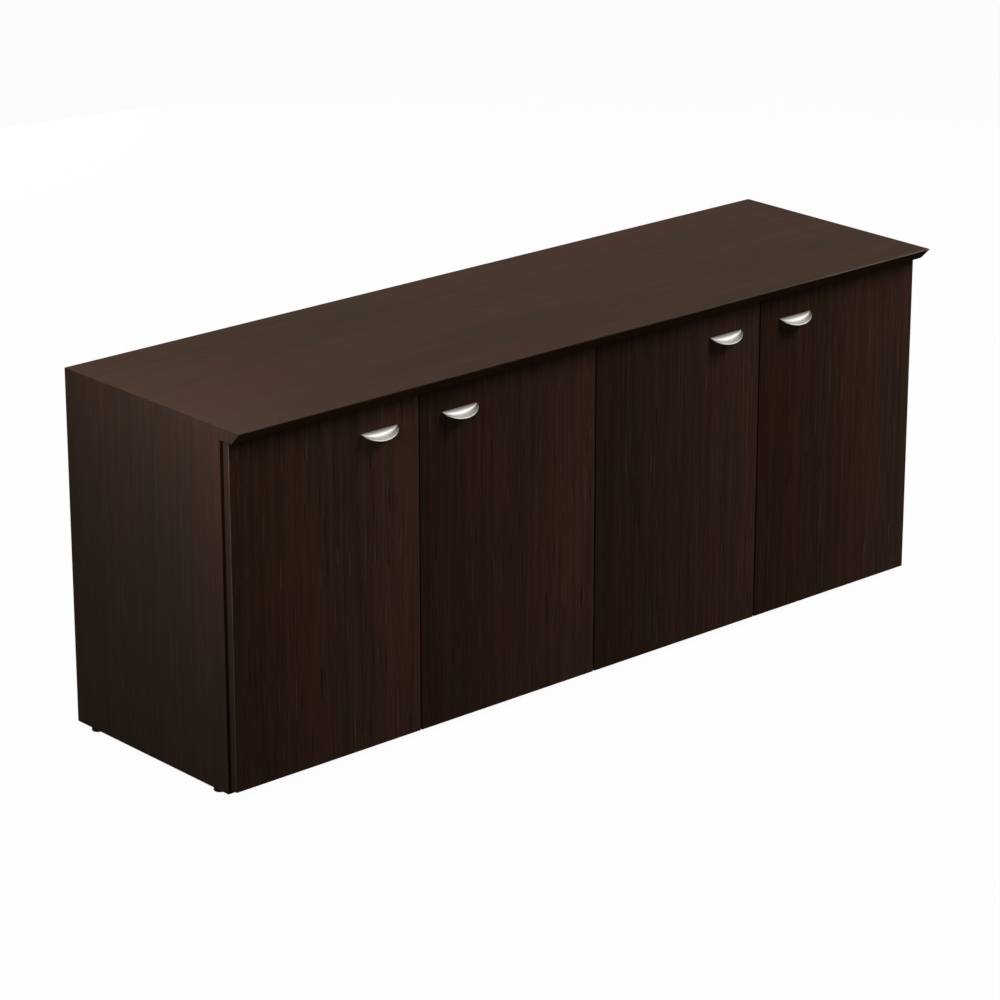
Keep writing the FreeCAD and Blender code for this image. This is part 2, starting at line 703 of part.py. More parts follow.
def make_hinges():
    """Two hinges for each door: arms and plates on the case, links between, cups on the door."""
    plates = {"gable": [], "partition": []}
    for number in DOORS:
        carrier = DOORS[number]["carrier"]
        sets = {"arm": [], "link": [], "cup": [], "cup_screw": []}
        for level in range(len(HINGE_LEVELS)):
            tag = f"door_{number}_{('lower', 'upper')[level]}"
            sets["arm"].append(set_hinge(make_arm(f"{tag}_arm"), number, level))
            sets["link"].append(set_hinge(make_link(f"{tag}_link"), number, level))
            sets["cup"].append(set_hinge(make_cup(f"{tag}_cup"), number, level))
            sets["cup_screw"].append(set_hinge(make_cup_screws(f"{tag}_cup_screw"), number, level))
            plates[carrier].append(set_hinge(make_plate(f"{tag}_plate", carrier), number, level))
            make_plate_screws(number, level)
            inward = "+x" if DOORS[number]["hinged"] == "left" else "-x"
            middle = (hinge_edge(number), joined(FRONT, "arm_pivot_back"), HINGE_LEVELS[level])
            pivot = moved(middle, inward, "arm_pivot_in")
            half = "arm_width / 2"
            ARM_PINS.append(reach(f"{tag}_arm_pin", pivot, "+z", minus(half), half, "hinge_pin_radius"))
        group(f"door_{number}_hinge_arms", sets["arm"])
        group(f"door_{number}_hinge_links", sets["link"])
        group(f"door_{number}_hinge_cups", sets["cup"])
        group(f"door_{number}_cup_screws", sets["cup_screw"])
    group("gable_hinge_plates", plates["gable"])
    group("partition_hinge_plates", plates["partition"])
    group("hinge_arm_pins", ARM_PINS)
    group("hinge_plate_screws", PLATE_SCREWS)


# ------------------------------------------------------------------ doors
def from_hinge_edge(number, distance):
    """Distance from a door's left edge to a place measured from its hinge edge."""
    if DOORS[number]["hinged"] == "left":
        return distance
    return joined(DOOR_WIDTH, minus(distance))


def pull_middle(number):
    """Distance from a door's hinge edge to the middle of its pull."""
    return joined(DOOR_WIDTH, "-1 * pull_edge_gap", "-1 * pull_width / 2")


def upright_front_edges(shape):
    """Names of the two upright edges of a slab's front face."""
    front = shape.BoundBox.YMin
    names = []
    for index, edge in enumerate(shape.Edges, start=1):
        bounds = edge.BoundBox
        upright = bounds.ZLength > max(bounds.XLength, bounds.YLength)
        if upright and abs(bounds.YMax - front) < SAME_PLACE:
            names.append(f"Edge{index}")
    return names


def make_door(number):
    """Door slab with eased upright edges, bored for its hinge cups, screws and pull."""
    body = new_body(f"door_{number}_panel")
    sketch = new_sketch(body, f"door_{number}_outline", "XZ_Plane")
    draw_outline(sketch, [("0", "0"), (DOOR_WIDTH, "0"), (DOOR_WIDTH, DOOR_HEIGHT), ("0", DOOR_HEIGHT)])
    slab = pad(body, sketch, f"door_{number}_slab", "door_thickness")
    doc.recompute()
    ease = body.newObject("PartDesign::Chamfer", f"door_{number}_ease")
    ease.Base = (slab, upright_front_edges(slab.Shape))
    bind(ease, Size="door_edge_ease")
    levels = ("hinge_inset", joined(DOOR_HEIGHT, "-1 * hinge_inset"))
    cup_x = from_hinge_edge(number, CUP_CENTRE)
    cups = new_sketch(body, f"door_{number}_cup_circles", "XZ_Plane")
    draw_circles(cups, [(cup_x, z) for z in levels], "cup_radius + seat_play")
    sink(body, cups, f"door_{number}_cup_bores", "cup_depth")
    screw_x = from_hinge_edge(number, joined(CUP_CENTRE, "cup_screw_offset"))
    spread = "cup_screw_spacing / 2"
    screw_levels = [joined(z, side) for z in levels for side in (minus(spread), spread)]
    pilots = new_sketch(body, f"door_{number}_pilot_circles", "XZ_Plane")
    draw_circles(pilots, [(screw_x, z) for z in screw_levels], "cup_screw_radius + seat_play")
    sink(body, pilots, f"door_{number}_pilot_bores", "screw_bite + bottom_play")
    middle = pull_middle(number)
    post_level = joined(DOOR_HEIGHT, "-1 * pull_drop", "-1 * pull_post_drop")
    spread = "pull_post_spacing / 2"
    posts = [(from_hinge_edge(number, joined(middle, side)), post_level) for side in (minus(spread), spread)]
    through = new_sketch(body, f"door_{number}_pull_circles", "XZ_Plane")
    draw_circles(through, posts, "pull_screw_radius + seat_play")
    sink(body, through, f"door_{number}_pull_holes", "door_thickness")
    place(body, door_left_edge(number), DOOR_BACK, DOOR_LEVEL)
    return piece(body, f"door_{number}_panel")


def pull_posts(number):
    """Places of a pull's two posts on the front face of its door."""
    middle = joined(door_left_edge(number), from_hinge_edge(number, pull_middle(number)))
    level = joined(PULL_LEVEL, "-1 * pull_post_drop")
    spread = "pull_post_spacing / 2"
    return [(joined(middle, side), DOOR_FACE, level) for side in (minus(spread), spread)]


PULL_STATIONS = (-0.995, -0.95, -0.82, -0.58, -0.3, 0, 0.3, 0.58, 0.82, 0.95, 0.995)


def draw_lip(sketch, shrink):
    """Section of a pull: a quarter round down from its straight edge, then a flat lip outwards."""
    out = f"pull_reach * {shrink}"
    drop = f"pull_round * ({shrink}) ^ pull_taper"
    plate = f"pull_plate * ({shrink}) ^ (pull_taper / 2)"
    inner_drop = joined(drop, minus(plate))
    radius, inner_radius = value(drop), value(inner_drop)
    centre = FreeCAD.Vector(radius, 0, 0)
    normal = FreeCAD.Vector(0, 0, 1)
    outer_end = FreeCAD.Vector(radius, radius, 0)
    outer_corner = FreeCAD.Vector(value(out), radius, 0)
    inner_corner = FreeCAD.Vector(value(out), inner_radius, 0)
    inner_end = FreeCAD.Vector(radius, inner_radius, 0)
    edge_end = FreeCAD.Vector(value(plate), 0, 0)
    for geometry in (
        Part.ArcOfCircle(Part.Circle(centre, normal, radius), math.pi / 2, math.pi),
        Part.LineSegment(outer_end, outer_corner),
        Part.LineSegment(outer_corner, inner_corner),
        Part.LineSegment(inner_corner, inner_end),
        Part.ArcOfCircle(Part.Circle(centre, normal, inner_radius), math.pi / 2, math.pi),
        Part.LineSegment(edge_end, FreeCAD.Vector(0, 0, 0)),
    ):
        sketch.addGeometry(geometry, False)
    for first, second in (((0, 1), (1, 1)), ((1, 2), (2, 1)), ((2, 2), (3, 1)), ((3, 2), (4, 1)),
                          ((4, 2), (5, 1)), ((5, 2), (0, 2)), ((0, 3), (4, 3))):
        sketch.addConstraint(Sketcher.Constraint("Coincident", *first, *second))
    pin_point(sketch, 0, 3, drop, "0")
    pin_point(sketch, 0, 2, "0", "0")
    sketch.addConstraint(Sketcher.Constraint("Vertical", 0, 3, 0, 1))
    pin_point(sketch, 1, 2, out, drop)
    pin_point(sketch, 2, 2, out, inner_drop)
    sketch.addConstraint(Sketcher.Constraint("Vertical", 4, 3, 4, 1))
    sketch.addConstraint(Sketcher.Constraint("Horizontal", 3))
    sketch.addConstraint(Sketcher.Constraint("PointOnObject", 4, 2, -1))


def make_lip(name, middle):
    """Plate of a pull: its section shrinks to both ends as a half ellipse does."""
    body = new_body(name)
    sections = []
    for index, station in enumerate(PULL_STATIONS):
        sketch = new_sketch(body, f"{name}_section_{index}", "YZ_Plane")
        sketch.AttachmentOffset = FreeCAD.Placement(FreeCAD.Vector(0, 0, 0), HALF_TURN)
        sketch.setExpression("AttachmentOffset.Base.z", sized(f"pull_width / 2 * {station}"))
        draw_lip(sketch, f"sqrt(1 - {abs(station)} ^ 2)")
        sketch.Visibility = False
        sections.append(sketch)
    loft = body.newObject("PartDesign::AdditiveLoft", f"{name}_loft")
    loft.Profile = sections[0]
    loft.Sections = sections[1:]
    place(body, middle, DOOR_FACE, PULL_LEVEL)
    return body


def make_pull(number):
    """Half-moon pull: a curved lip with two threaded posts behind it."""
    name = f"door_{number}_pull"
    middle = joined(door_left_edge(number), from_hinge_edge(number, pull_middle(number)))
    lip = make_lip(f"{name}_lip", middle)
    posts = []
    threads = []
    for index, point in enumerate(pull_posts(number)):
        height = "pull_screw_grip + pull_post_cap"
        posts.append(reach(f"{name}_post_{index}", point, "-y", "0", height, "pull_post_radius"))
        depth = "pull_screw_grip + seat_play"
        radius = "pull_screw_radius + seat_play"
        threads.append(reach(f"{name}_thread_{index}", point, "-y", "0", depth, radius))
    return piece(cut(name, fuse(f"{name}_blank", [lip, *posts]), threads), name)


def make_pull_screws(number):
    """Two machine screws from the back of a door into the posts of its pull."""
    screws = []
    for index, post in enumerate(pull_posts(number)):
        point = moved(post, "+y", "door_thickness")
        name = f"door_{number}_pull_screw_{index}"
        head = reach(f"{name}_head", point, "+y", "0", "screw_head", "2 * pull_screw_radius")
        depth = "door_thickness + pull_screw_grip"
        shank = reach(f"{name}_shank", point, "-y", "0", depth, "pull_screw_radius")
        screws.append(fuse(name, [head, shank]))
    return group(f"door_{number}_pull_screws", screws)


def make_bumpers(number):
    """Two soft buttons on the back of a door that meet the bottom and the rail."""
    inset = joined(DOOR_WIDTH, "-1 * bumper_inset")
    x = joined(door_left_edge(number), from_hinge_edge(number, inset))
    middle = "panel_thickness / 2"
    levels = (joined(BOTTOM_LEVEL, middle), joined(TOP_UNDERSIDE, minus(middle)))
    buttons = []
    for index, z in enumerate(levels):
        name = f"door_{number}_bumper_{index}"
        reach_out = "door_standoff - bumper_play"
        buttons.append(reach(name, (x, DOOR_BACK, z), "+y", "0", reach_out, "bumper_radius"))
    return group(f"door_{number}_bumpers", buttons)


# ------------------------------------------------------------------ levelling glides
GLIDE_COLUMNS = {
    "left": ("left_gable", "( gable_thickness - overall_width ) / 2"),
    "centre": ("centre_partition", "0"),
    "right": ("right_gable", "( overall_width - gable_thickness ) / 2"),
}
GLIDE_ROWS = {
    "front": joined(FRONT, "glide_inset_front"),
    "rear": joined(REAR, "-1 * glide_inset_back"),
}


def make_glide(label, x, y):
    """Levelling glide: pad, collar and stem turned in one piece."""
    body = new_body(label)
    sketch = new_sketch(body, f"{label}_section", "XZ_Plane")
    collar_top = "glide_reach - side_play"
    stem_top = "glide_reach + glide_stem_length"
    draw_outline(sketch, [
        ("0", "0"),
        ("glide_foot_radius", "0"),
        ("glide_pad_radius", "glide_pad_height / 4"),
        ("glide_pad_radius", "glide_pad_height"),
        ("glide_collar_radius", "glide_pad_height"),
        ("glide_collar_radius", collar_top),
        ("glide_stem_radius", collar_top),
        ("glide_stem_radius", stem_top),
        ("0", stem_top),
    ])
    turned = body.newObject("PartDesign::Revolution", f"{label}_turned")
    turned.Profile = sketch
    turned.ReferenceAxis = (sketch, ["V_Axis"])
    turned.Angle = 360
    sketch.Visibility = False
    place(body, x, y, "0")
    return piece(body, label)


def make_glides():
    """Six glides with the threaded inserts that carry them."""
    inserts = []
    for column, (board, x) in GLIDE_COLUMNS.items():
        for row, y in GLIDE_ROWS.items():
            make_glide(f"glide_{row}_{column}", x, y)
            name = f"insert_{row}_{column}"
            mouth = (x, y, FLOOR_EDGE)
            sleeve = reach(f"{name}_sleeve", mouth, "+z", "0", "insert_length", "insert_radius")
            stem_bore = "glide_stem_radius + turn_play"
            thread = reach(f"{name}_thread", mouth, "+z", "0", "insert_length", stem_bore)
            inserts.append(cut(name, sleeve, [thread]))
            insert_bore = "insert_radius + seat_play"
            bore(board, reach(f"{name}_bore", mouth, "+z", "0", "insert_length", insert_bore))
            deep = "glide_stem_length + bottom_play"
            bore(board, reach(f"{name}_stem_bore", mouth, "+z", "0", deep, "glide_stem_radius + side_play"))
    group("glide_inserts", inserts)


# ------------------------------------------------------------------ the whole object
def make_case():
    """Boards with every bore taken out, then the fittings that join them."""
    boards = make_boards()
    boards["top_panel"] = make_top()
    for name, blank in boards.items():
        piece(cut(f"{name}_bored", blank, BORES[name]), name)


join_boards()
screw_rails_to_top()
make_shelves()
make_hinges()
make_glides()
make_case()
group("cam_locks", CAMS)
group("cam_bolts", BOLTS)
group("wood_dowels", DOWELS)
group("top_screws", TOP_SCREWS)
group("shelf_pins", SHELF_PINS)
for door_number in DOORS:
    make_door(door_number)
    make_pull(door_number)
    make_pull_screws(door_number)
    make_bumpers(door_number)
doc.recompute()

for item in doc.Objects:
    if "Invalid" in item.State or "Error" in item.State:
        raise RuntimeError(f"{item.Name} is {item.State}")
for part in PARTS:
    if part.Shape.isNull() or not part.Shape.isValid() or not part.Shape.Solids:
        raise RuntimeError(f"{part.Label} has no valid solid")

os.makedirs("parts", exist_ok=True)
for part in PARTS:
    part.Shape.exportStep(os.path.join("parts", f"{part.Label}.step"))
    print(f"{part.Label}: {len(part.Shape.Solids)} solid(s), {part.Shape.Volume / 1000:.1f} cm3")
print(f"{len(PARTS)} parts")
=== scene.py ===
# %% [markdown]
# # Office credenza: dressing the cut parts
# An office credenza is a long low cupboard that stands behind a desk: laminated boards, four
# doors on concealed hinges, half-moon pulls and small levelling glides. Its parts already exist
# as plain solids with sharp corners. This lesson softens their edges, models the small metal
# pieces again with threads and driver recesses, and mixes a finish for every board and fitting.
# The first step loads the solids. Nothing that is added later may grow out of the box that
# they fill.

# %% Load the cut parts
import json
import math

import bmesh
import bpy
from mathutils import Matrix, Vector


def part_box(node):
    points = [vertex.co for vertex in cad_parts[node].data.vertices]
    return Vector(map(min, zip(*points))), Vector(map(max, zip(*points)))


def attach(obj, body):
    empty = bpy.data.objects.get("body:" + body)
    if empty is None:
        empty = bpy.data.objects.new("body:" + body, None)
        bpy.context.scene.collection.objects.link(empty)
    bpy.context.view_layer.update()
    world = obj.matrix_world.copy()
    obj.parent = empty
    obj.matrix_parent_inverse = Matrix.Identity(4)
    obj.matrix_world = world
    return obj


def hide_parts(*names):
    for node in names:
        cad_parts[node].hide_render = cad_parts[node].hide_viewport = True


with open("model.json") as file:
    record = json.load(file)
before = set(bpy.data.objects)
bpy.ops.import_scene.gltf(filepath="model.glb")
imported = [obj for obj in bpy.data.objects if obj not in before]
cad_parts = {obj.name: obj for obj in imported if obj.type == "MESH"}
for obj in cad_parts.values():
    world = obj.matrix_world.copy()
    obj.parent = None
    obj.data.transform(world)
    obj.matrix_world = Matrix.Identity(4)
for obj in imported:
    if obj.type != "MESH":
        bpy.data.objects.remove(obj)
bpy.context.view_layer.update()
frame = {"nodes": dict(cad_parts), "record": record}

parts = frame["nodes"]
record = frame["record"]
body_of = {member: name for name, members in record["behaviour"]["bodies"].items() for member in members}
MM = 0.001
DOORS = (1, 2, 3, 4)

# %% [markdown]
# ## Node helper
# A finish in Blender is a small network: patterns feed colours, colours feed the shader. Adding
# nodes by hand takes four lines each, so one helper adds a node, sets its options and joins or
# fills its inputs. Every finish ends by joining a colour, a roughness and a relief to the shader.


# %% Short way to add a shader node
def step(tree, kind, inputs=None, **options):
    """Add a node; an input that is another node's output is joined, anything else is a value."""
    node = tree.nodes.new(kind)
    for name, option in options.items():
        setattr(node, name, option)
    for name, given in (inputs or {}).items():
        if isinstance(given, bpy.types.NodeSocket):
            tree.links.new(given, node.inputs[name])
        else:
            node.inputs[name].default_value = given
    return node


def empty_tree(owner):
    """Node tree of a material or world, with nothing in it."""
    owner.use_nodes = True
    owner.node_tree.nodes.clear()
    return owner.node_tree


def blank_finish(name, specular=0.5, metallic=0.0):
    """Material that holds only a principled shader and its output."""
    finish = bpy.data.materials.new(name)
    tree = empty_tree(finish)
    shader = step(tree, "ShaderNodeBsdfPrincipled", {"Specular IOR Level": specular, "Metallic": metallic})
    step(tree, "ShaderNodeOutputMaterial", {"Surface": shader.outputs["BSDF"]})
    return finish, tree, shader


def ramp(tree, amount, stops):
    """Colour ramp with given (position, colour) stops; a single number stands for a grey."""
    node = step(tree, "ShaderNodeValToRGB", {"Fac": amount})
    band = node.color_ramp
    while len(band.elements) < len(stops):
        band.elements.new(1.0)
    for element, (position, colour) in zip(band.elements, stops):
        element.position = position
        rgb = colour if isinstance(colour, tuple) else (colour,) * 3
        element.color = (*rgb, 1.0)
    return node.outputs["Color"]


def mixed(tree, amount, first, second, blend="MIX"):
    """Mix of two colours."""
    node = step(tree, "ShaderNodeMix", data_type="RGBA", blend_type=blend)
    for index, given in ((0, amount), (6, first), (7, second)):
        if isinstance(given, bpy.types.NodeSocket):
            tree.links.new(given, node.inputs[index])
        else:
            node.inputs[index].default_value = given if index == 0 else (*given, 1.0)
    return node.outputs[2]


def maths(tree, operation, first, second):
    """One sum on two values."""
    return step(tree, "ShaderNodeMath", {0: first, 1: second}, operation=operation).outputs[0]


def coat(tree, shader, colour, roughness, height, strength, depth):
    """Join a finish's colour, roughness and relief to its shader; depth is in metres."""
    relief = step(tree, "ShaderNodeBump", {"Strength": strength, "Distance": depth, "Height": height})
    tree.links.new(colour, shader.inputs["Base Color"])
    tree.links.new(roughness, shader.inputs["Roughness"])
    tree.links.new(relief.outputs["Normal"], shader.inputs["Normal"])


print("node helpers ready")

# %% [markdown]
# ## Wood-print laminate
# The boards are faced with a paper print of dark, straight-grained wood under a matt resin film.
# Straight grain is noise that is stretched a long way in one direction: slow clouds of warmer and
# cooler brown, faint stripes, and a scatter of light and dark streaks up to a hand long, with
# hair-fine pores between them. Object coordinates carry the pattern, so it keeps its scale and
# turns with a door. Each board passes its own seed, as if cut from another place on the sheet,
# and says how strong its figure is.


# %% Laminate
def streaks(tree, grain, across, along, seed, detail=2.0):
    """Noise that is drawn out along x, y or z; across and along count waves in a metre."""
    where = step(tree, "ShaderNodeTexCoord").outputs["Object"]
    stretch = [across] * 3
    stretch["xyz".index(grain)] = along
    placed = step(tree, "ShaderNodeMapping", {
        "Vector": where,
        "Location": (seed, 0.7 * seed, 1.3 * seed),
        "Scale": stretch,
    }).outputs["Vector"]
    noise = step(tree, "ShaderNodeTexNoise", {
        "Vector": placed, "Scale": 1.0, "Detail": detail, "Roughness": 0.55,
    })
    return noise.outputs["Fac"]


WALNUT = (0.0380, 0.0188, 0.0112)
COOL_WALNUT = (0.0335, 0.0184, 0.0110)
WARM_WALNUT = (0.0425, 0.0192, 0.0114)
STREAK_LIGHT = (0.0800, 0.0460, 0.0290)
STREAK_DARK = (0.0140, 0.0065, 0.0035)
PLAIN = (1.0, 1.0, 1.0)
SWEEP_DARK = (0.78, 0.79, 0.76)
SWEEP_LIGHT = (1.46, 1.49, 1.66)
FILM_GLOSS = 0.006
CLOUDS = (9, 1.6)          # waves in a metre, across the grain and along it
STRIPES = (75, 1.8)
THREADS = (300, 5)
# marks in the print: own seed, waves across, along, threshold, colour, strength
MARKS = (
    (31, 250, 8, 0.65, STREAK_LIGHT, 0.50),
    (37, 230, 9, 0.66, STREAK_DARK, 0.70),
    (47, 900, 60, 0.66, STREAK_DARK, 0.50),
)


def tinted(colour, tint):
    """Colour with each of its parts scaled."""
    return tuple(part * scale for part, scale in zip(colour, tint))


def share_across(tree, low, high, axis="X"):
    """0 at one place and 1 at another, along a piece."""
    where = step(tree, "ShaderNodeTexCoord").outputs["Object"]
    place = step(tree, "ShaderNodeSeparateXYZ", {"Vector": where}).outputs[axis]
    spread = step(tree, "ShaderNodeMapRange", {"Value": place, "From Min": low, "From Max": high})
    return spread.outputs["Result"]


def laminate(name, grain, seed, tint=PLAIN, figure=1.0, sweep=None):
    """Matt wood-print laminate; sweep is the (low x, high x) that its tone rises across."""
    finish, tree, shader = blank_finish(name, FILM_GLOSS)
    base = ramp(tree, streaks(tree, grain, *CLOUDS, seed), (
        (0.34, tinted(COOL_WALNUT, tint)), (0.50, tinted(WALNUT, tint)), (0.66, tinted(WARM_WALNUT, tint)),
    ))
    stripes = streaks(tree, grain, *STRIPES, seed + 11)
    threads = streaks(tree, grain, *THREADS, seed + 23, 3.0)
    wave = maths(tree, "ADD", maths(tree, "MULTIPLY", stripes, 0.9 * figure),
                 maths(tree, "MULTIPLY", threads, 0.8 * figure))
    level = maths(tree, "ADD", wave, 1 - 0.85 * figure)
    lit = step(tree, "ShaderNodeVectorMath", {0: base, "Scale": level}, operation="SCALE")
    colour = lit.outputs["Vector"]
    for offset, across, along, edge, streak, strength in MARKS:
        marks = streaks(tree, grain, across, along, seed + offset, 1.0)
        marks = ramp(tree, marks, ((edge, 0.0), (edge + 0.06, 1.0)))
        share = maths(tree, "MULTIPLY", marks, strength * figure)
        colour = mixed(tree, share, colour, tinted(streak, tint))
    if sweep:
        tone = mixed(tree, share_across(tree, *sweep), SWEEP_DARK, SWEEP_LIGHT)
        colour = mixed(tree, 1.0, colour, tone, "MULTIPLY")
    gloss = ramp(tree, threads, ((0.30, 0.44), (0.70, 0.58)))
    height = maths(tree, "SUBTRACT", maths(tree, "MULTIPLY", threads, 0.5), marks)
    coat(tree, shader, colour, gloss, height, 0.30, 0.2 * MM)
    return finish


print("laminate recipe ready")

# %% [markdown]
# ## Edge band and chipboard
# The cut edges of a laminated board are covered with a thin plastic band in nearly the same
# colour, a little smoother than the faces. The arrises that hands and sleeves pass are the first
# to wear: the print is scraped thin there and a paler line shows, stronger in some stretches
# than in others. That pale line is also a painted highlight, standing for the light that a
# rounded edge catches. Where a hole is drilled, the pale chipboard core shows. Chips are flat
# flakes pressed together, and a cell pattern gives each its own shade.


# %% Edge band, worn and highlighted arris, and chipboard
def edge_band(name, grain, seed, tint=PLAIN, specular=FILM_GLOSS):
    """Plastic banding with a faint printed grain."""
    finish, tree, shader = blank_finish(name, specular)
    lines = streaks(tree, grain, 420, 6, seed)
    colour = ramp(tree, lines, ((0.30, tinted(COOL_WALNUT, tint)), (0.70, tinted(WARM_WALNUT, tint))))
    dark = ramp(tree, streaks(tree, grain, 260, 14, seed + 5), ((0.64, 0.0), (0.72, 0.5)))
    colour = mixed(tree, dark, colour, tinted(STREAK_DARK, tint))
    gloss = ramp(tree, streaks(tree, grain, 60, 9, seed + 3), ((0.3, 0.36), (0.7, 0.46)))
    coat(tree, shader, colour, gloss, lines, 0.12, 0.2 * MM)
    return finish


def worn_and_highlighted_arris(name, seed, pale, dimmer_tone, fade_in=None):
    """Pale line in two tones along a trimmed edge, partly wear and partly painted highlight; fade_in is
    (colour, from x, to x) where it fades in.
    """
    finish, tree, shader = blank_finish(name, 2 * FILM_GLOSS)
    where = step(tree, "ShaderNodeTexCoord").outputs["Object"]
    line_strength = step(tree, "ShaderNodeTexNoise", {"Vector": where, "Scale": 9.0 + 0.1 * seed, "Detail": 3.0})
    colour = ramp(tree, line_strength.outputs["Fac"], ((0.35, dimmer_tone), (0.65, pale)))
    if fade_in:
        colour = mixed(tree, share_across(tree, *fade_in[1:]), fade_in[0], colour)
    gloss = ramp(tree, line_strength.outputs["Fac"], ((0.3, 0.42), (0.7, 0.30)))
    nicks = step(tree, "ShaderNodeTexNoise", {"Vector": where, "Scale": 260.0, "Detail": 2.0})
    coat(tree, shader, colour, gloss, nicks.outputs["Fac"], 0.15, 0.2 * MM)
    return finish


def granular(name, colours, cells, roughness, relief, metallic=0.0, specular=0.4):
    """Finish made of small cells of different shade, for chipboard, castings and moulded plastic."""
    finish, tree, shader = blank_finish(name, specular, metallic)
    where = step(tree, "ShaderNodeTexCoord").outputs["Object"]
    chips = step(tree, "ShaderNodeTexVoronoi", {"Vector": where, "Scale": cells})
    shade = step(tree, "ShaderNodeSeparateColor", {"Color": chips.outputs["Color"]}).outputs["Red"]
    colour = ramp(tree, shade, ((0.1, colours[0]), (0.9, colours[1])))
    cloud = step(tree, "ShaderNodeTexNoise", {"Vector": where, "Scale": cells / 4, "Detail": 3.0})
    gloss = ramp(tree, cloud.outputs["Fac"], ((0.3, roughness - 0.06), (0.7, roughness + 0.06)))
    coat(tree, shader, colour, gloss, chips.outputs["Distance"], relief, 0.3 * MM)
    return finish


chipboard = granular("chipboard_core", ((0.30, 0.20, 0.11), (0.55, 0.41, 0.25)), 700, 0.9, 0.5)
# Pale arris lines, partly wear and partly painted highlight. The nose's line keeps the dark colour up to the
# middle of the top and fades in to full strength 0.75 m right of it, a painted highlight that grows towards
# the right end.
nose_wear_and_highlight = worn_and_highlighted_arris("nose_wear_and_highlight", 3.0, (0.210, 0.160, 0.125), (0.115, 0.088, 0.068),
                       ((0.030, 0.018, 0.011), 0.0, 0.75))
door_wear_and_highlight = worn_and_highlighted_arris("door_wear_and_highlight", 8.0, (0.100, 0.072, 0.054), (0.056, 0.038, 0.026))
print("edge band recipe,", nose_wear_and_highlight.name, door_wear_and_highlight.name, "and", chipboard.name, "ready")

# %% [markdown]
# ## Metals, beech and bumpers
# The pulls are satin nickel, blasted so fine that only half of their look is metallic. A blend
# along the height darkens their colour from the lip towards the straight upper edge. It is
# painted shade, standing for the shade and for the dark door and overhang that the upper part
# reflects. The marks on a metal are again stretched noise, used for the roughness and a faint
# bump, and slow smudges vary the sheen as fingers would. Hinge steel is the same recipe, all
# metal, with finer marks and more shine.


# %% Metals and small finishes
def brushed_metal(name, colour, along, roughness, marks,
                  smudge=0.05, specular=0.5, metallic=1.0, painted_shade=None):
    """Plated metal brushed along one axis; painted_shade is (tint, from z, to z), a painted shade that is
    full at the first height and gone at the second.
    """
    finish, tree, shader = blank_finish(name, specular, metallic)
    brush = streaks(tree, along, marks, marks / 40, 5.0, 3.0)
    slow = streaks(tree, along, 45, 30, 9.0, 1.0)
    shade = ramp(tree, brush, ((0.25, tinted(colour, (0.90, 0.90, 0.90))), (0.75, colour)))
    # painted shade: the tint darkens the colour between two heights, standing for the shade and dark
    # reflections high in a pull's hollow
    if painted_shade:
        tint = mixed(tree, share_across(tree, *painted_shade[1:], "Z"), painted_shade[0], PLAIN)
        shade = mixed(tree, 1.0, shade, tint, "MULTIPLY")
    spread = maths(tree, "MULTIPLY", brush, 0.12)
    spread = maths(tree, "ADD", spread, maths(tree, "MULTIPLY", slow, smudge))
    spread = maths(tree, "ADD", spread, roughness - 0.06 - smudge / 2)
    coat(tree, shader, shade, spread, brush, 0.08, 0.1 * MM)
    return finish


pull_low, pull_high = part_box("door_1_pull")
# painted shade on the pulls: darkest at the straight upper edge, gone 3 mm above the lowest point
painted_pull_shade = ((0.15, 0.14, 0.13), pull_high[2], pull_low[2] + 3 * MM)
satin_nickel = brushed_metal("satin_nickel", (0.95, 0.92, 0.87), "x", 0.50, 2600, 0.08, 0.2, 0.5, painted_pull_shade)
hinge_steel = brushed_metal("hinge_steel", (0.62, 0.60, 0.57), "y", 0.30, 3400)
screw_steel = brushed_metal("screw_steel", (0.66, 0.65, 0.62), "z", 0.34, 2200)
cast_zinc = granular("cast_zinc", ((0.38, 0.38, 0.39), (0.52, 0.52, 0.53)), 2400, 0.48, 0.2, 1.0)
moulded_black = granular("moulded_black", ((0.008, 0.007, 0.007), (0.014, 0.013, 0.012)), 3000, 0.6, 0.15,
                         specular=0.05)
clear_bumper = granular("clear_bumper", ((0.55, 0.56, 0.55), (0.70, 0.71, 0.70)), 1500, 0.22, 0.05)
clear_bumper.node_tree.nodes["Principled BSDF"].inputs["Transmission Weight"].default_value = 0.45


def beech():
    """Pale dowel beech with short brown flecks."""
    finish, tree, shader = blank_finish("dowel_beech")
    soft = streaks(tree, "x", 300, 20, 2.0, 3.0)
    colour = ramp(tree, soft, ((0.3, (0.42, 0.26, 0.13)), (0.7, (0.62, 0.44, 0.26))))
    fleck = ramp(tree, streaks(tree, "x", 1400, 260, 7.0), ((0.62, 0.0), (0.70, 1.0)))
    colour = mixed(tree, fleck, colour, (0.25, 0.13, 0.06))
    coat(tree, shader, colour, ramp(tree, soft, ((0.3, 0.60), (0.7, 0.75))), soft, 0.2, 0.2 * MM)
    return finish


dowel_beech = beech()
print("metals, plastics and beech ready")

# %% [markdown]
# ## Mesh helpers
# Two ways of making pieces serve nearly everything. A board starts as a copy of its cut solid
# with its holes in place, and gets rounded arrises, because a real edge always catches a thin
# line of light. Anything round is spun from a profile, as on a lathe, and a row's radius may
# change with the angle, which is enough to cut a thread.


# %% From a working mesh to a dressed piece
def stand_for(piece, node):
    """A dressed piece takes the place of one cut part, on the same body."""
    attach(piece, body_of[node])
    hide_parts(node)
    return piece


def settled(mesh, name):
    """Mesh data made from a working mesh."""
    data = bpy.data.meshes.new(name)
    mesh.to_mesh(data)
    mesh.free()
    return data


def shown(name, data):
    """Object in the scene that holds some data."""
    piece = bpy.data.objects.new(name, data)
    bpy.context.collection.objects.link(piece)
    return piece


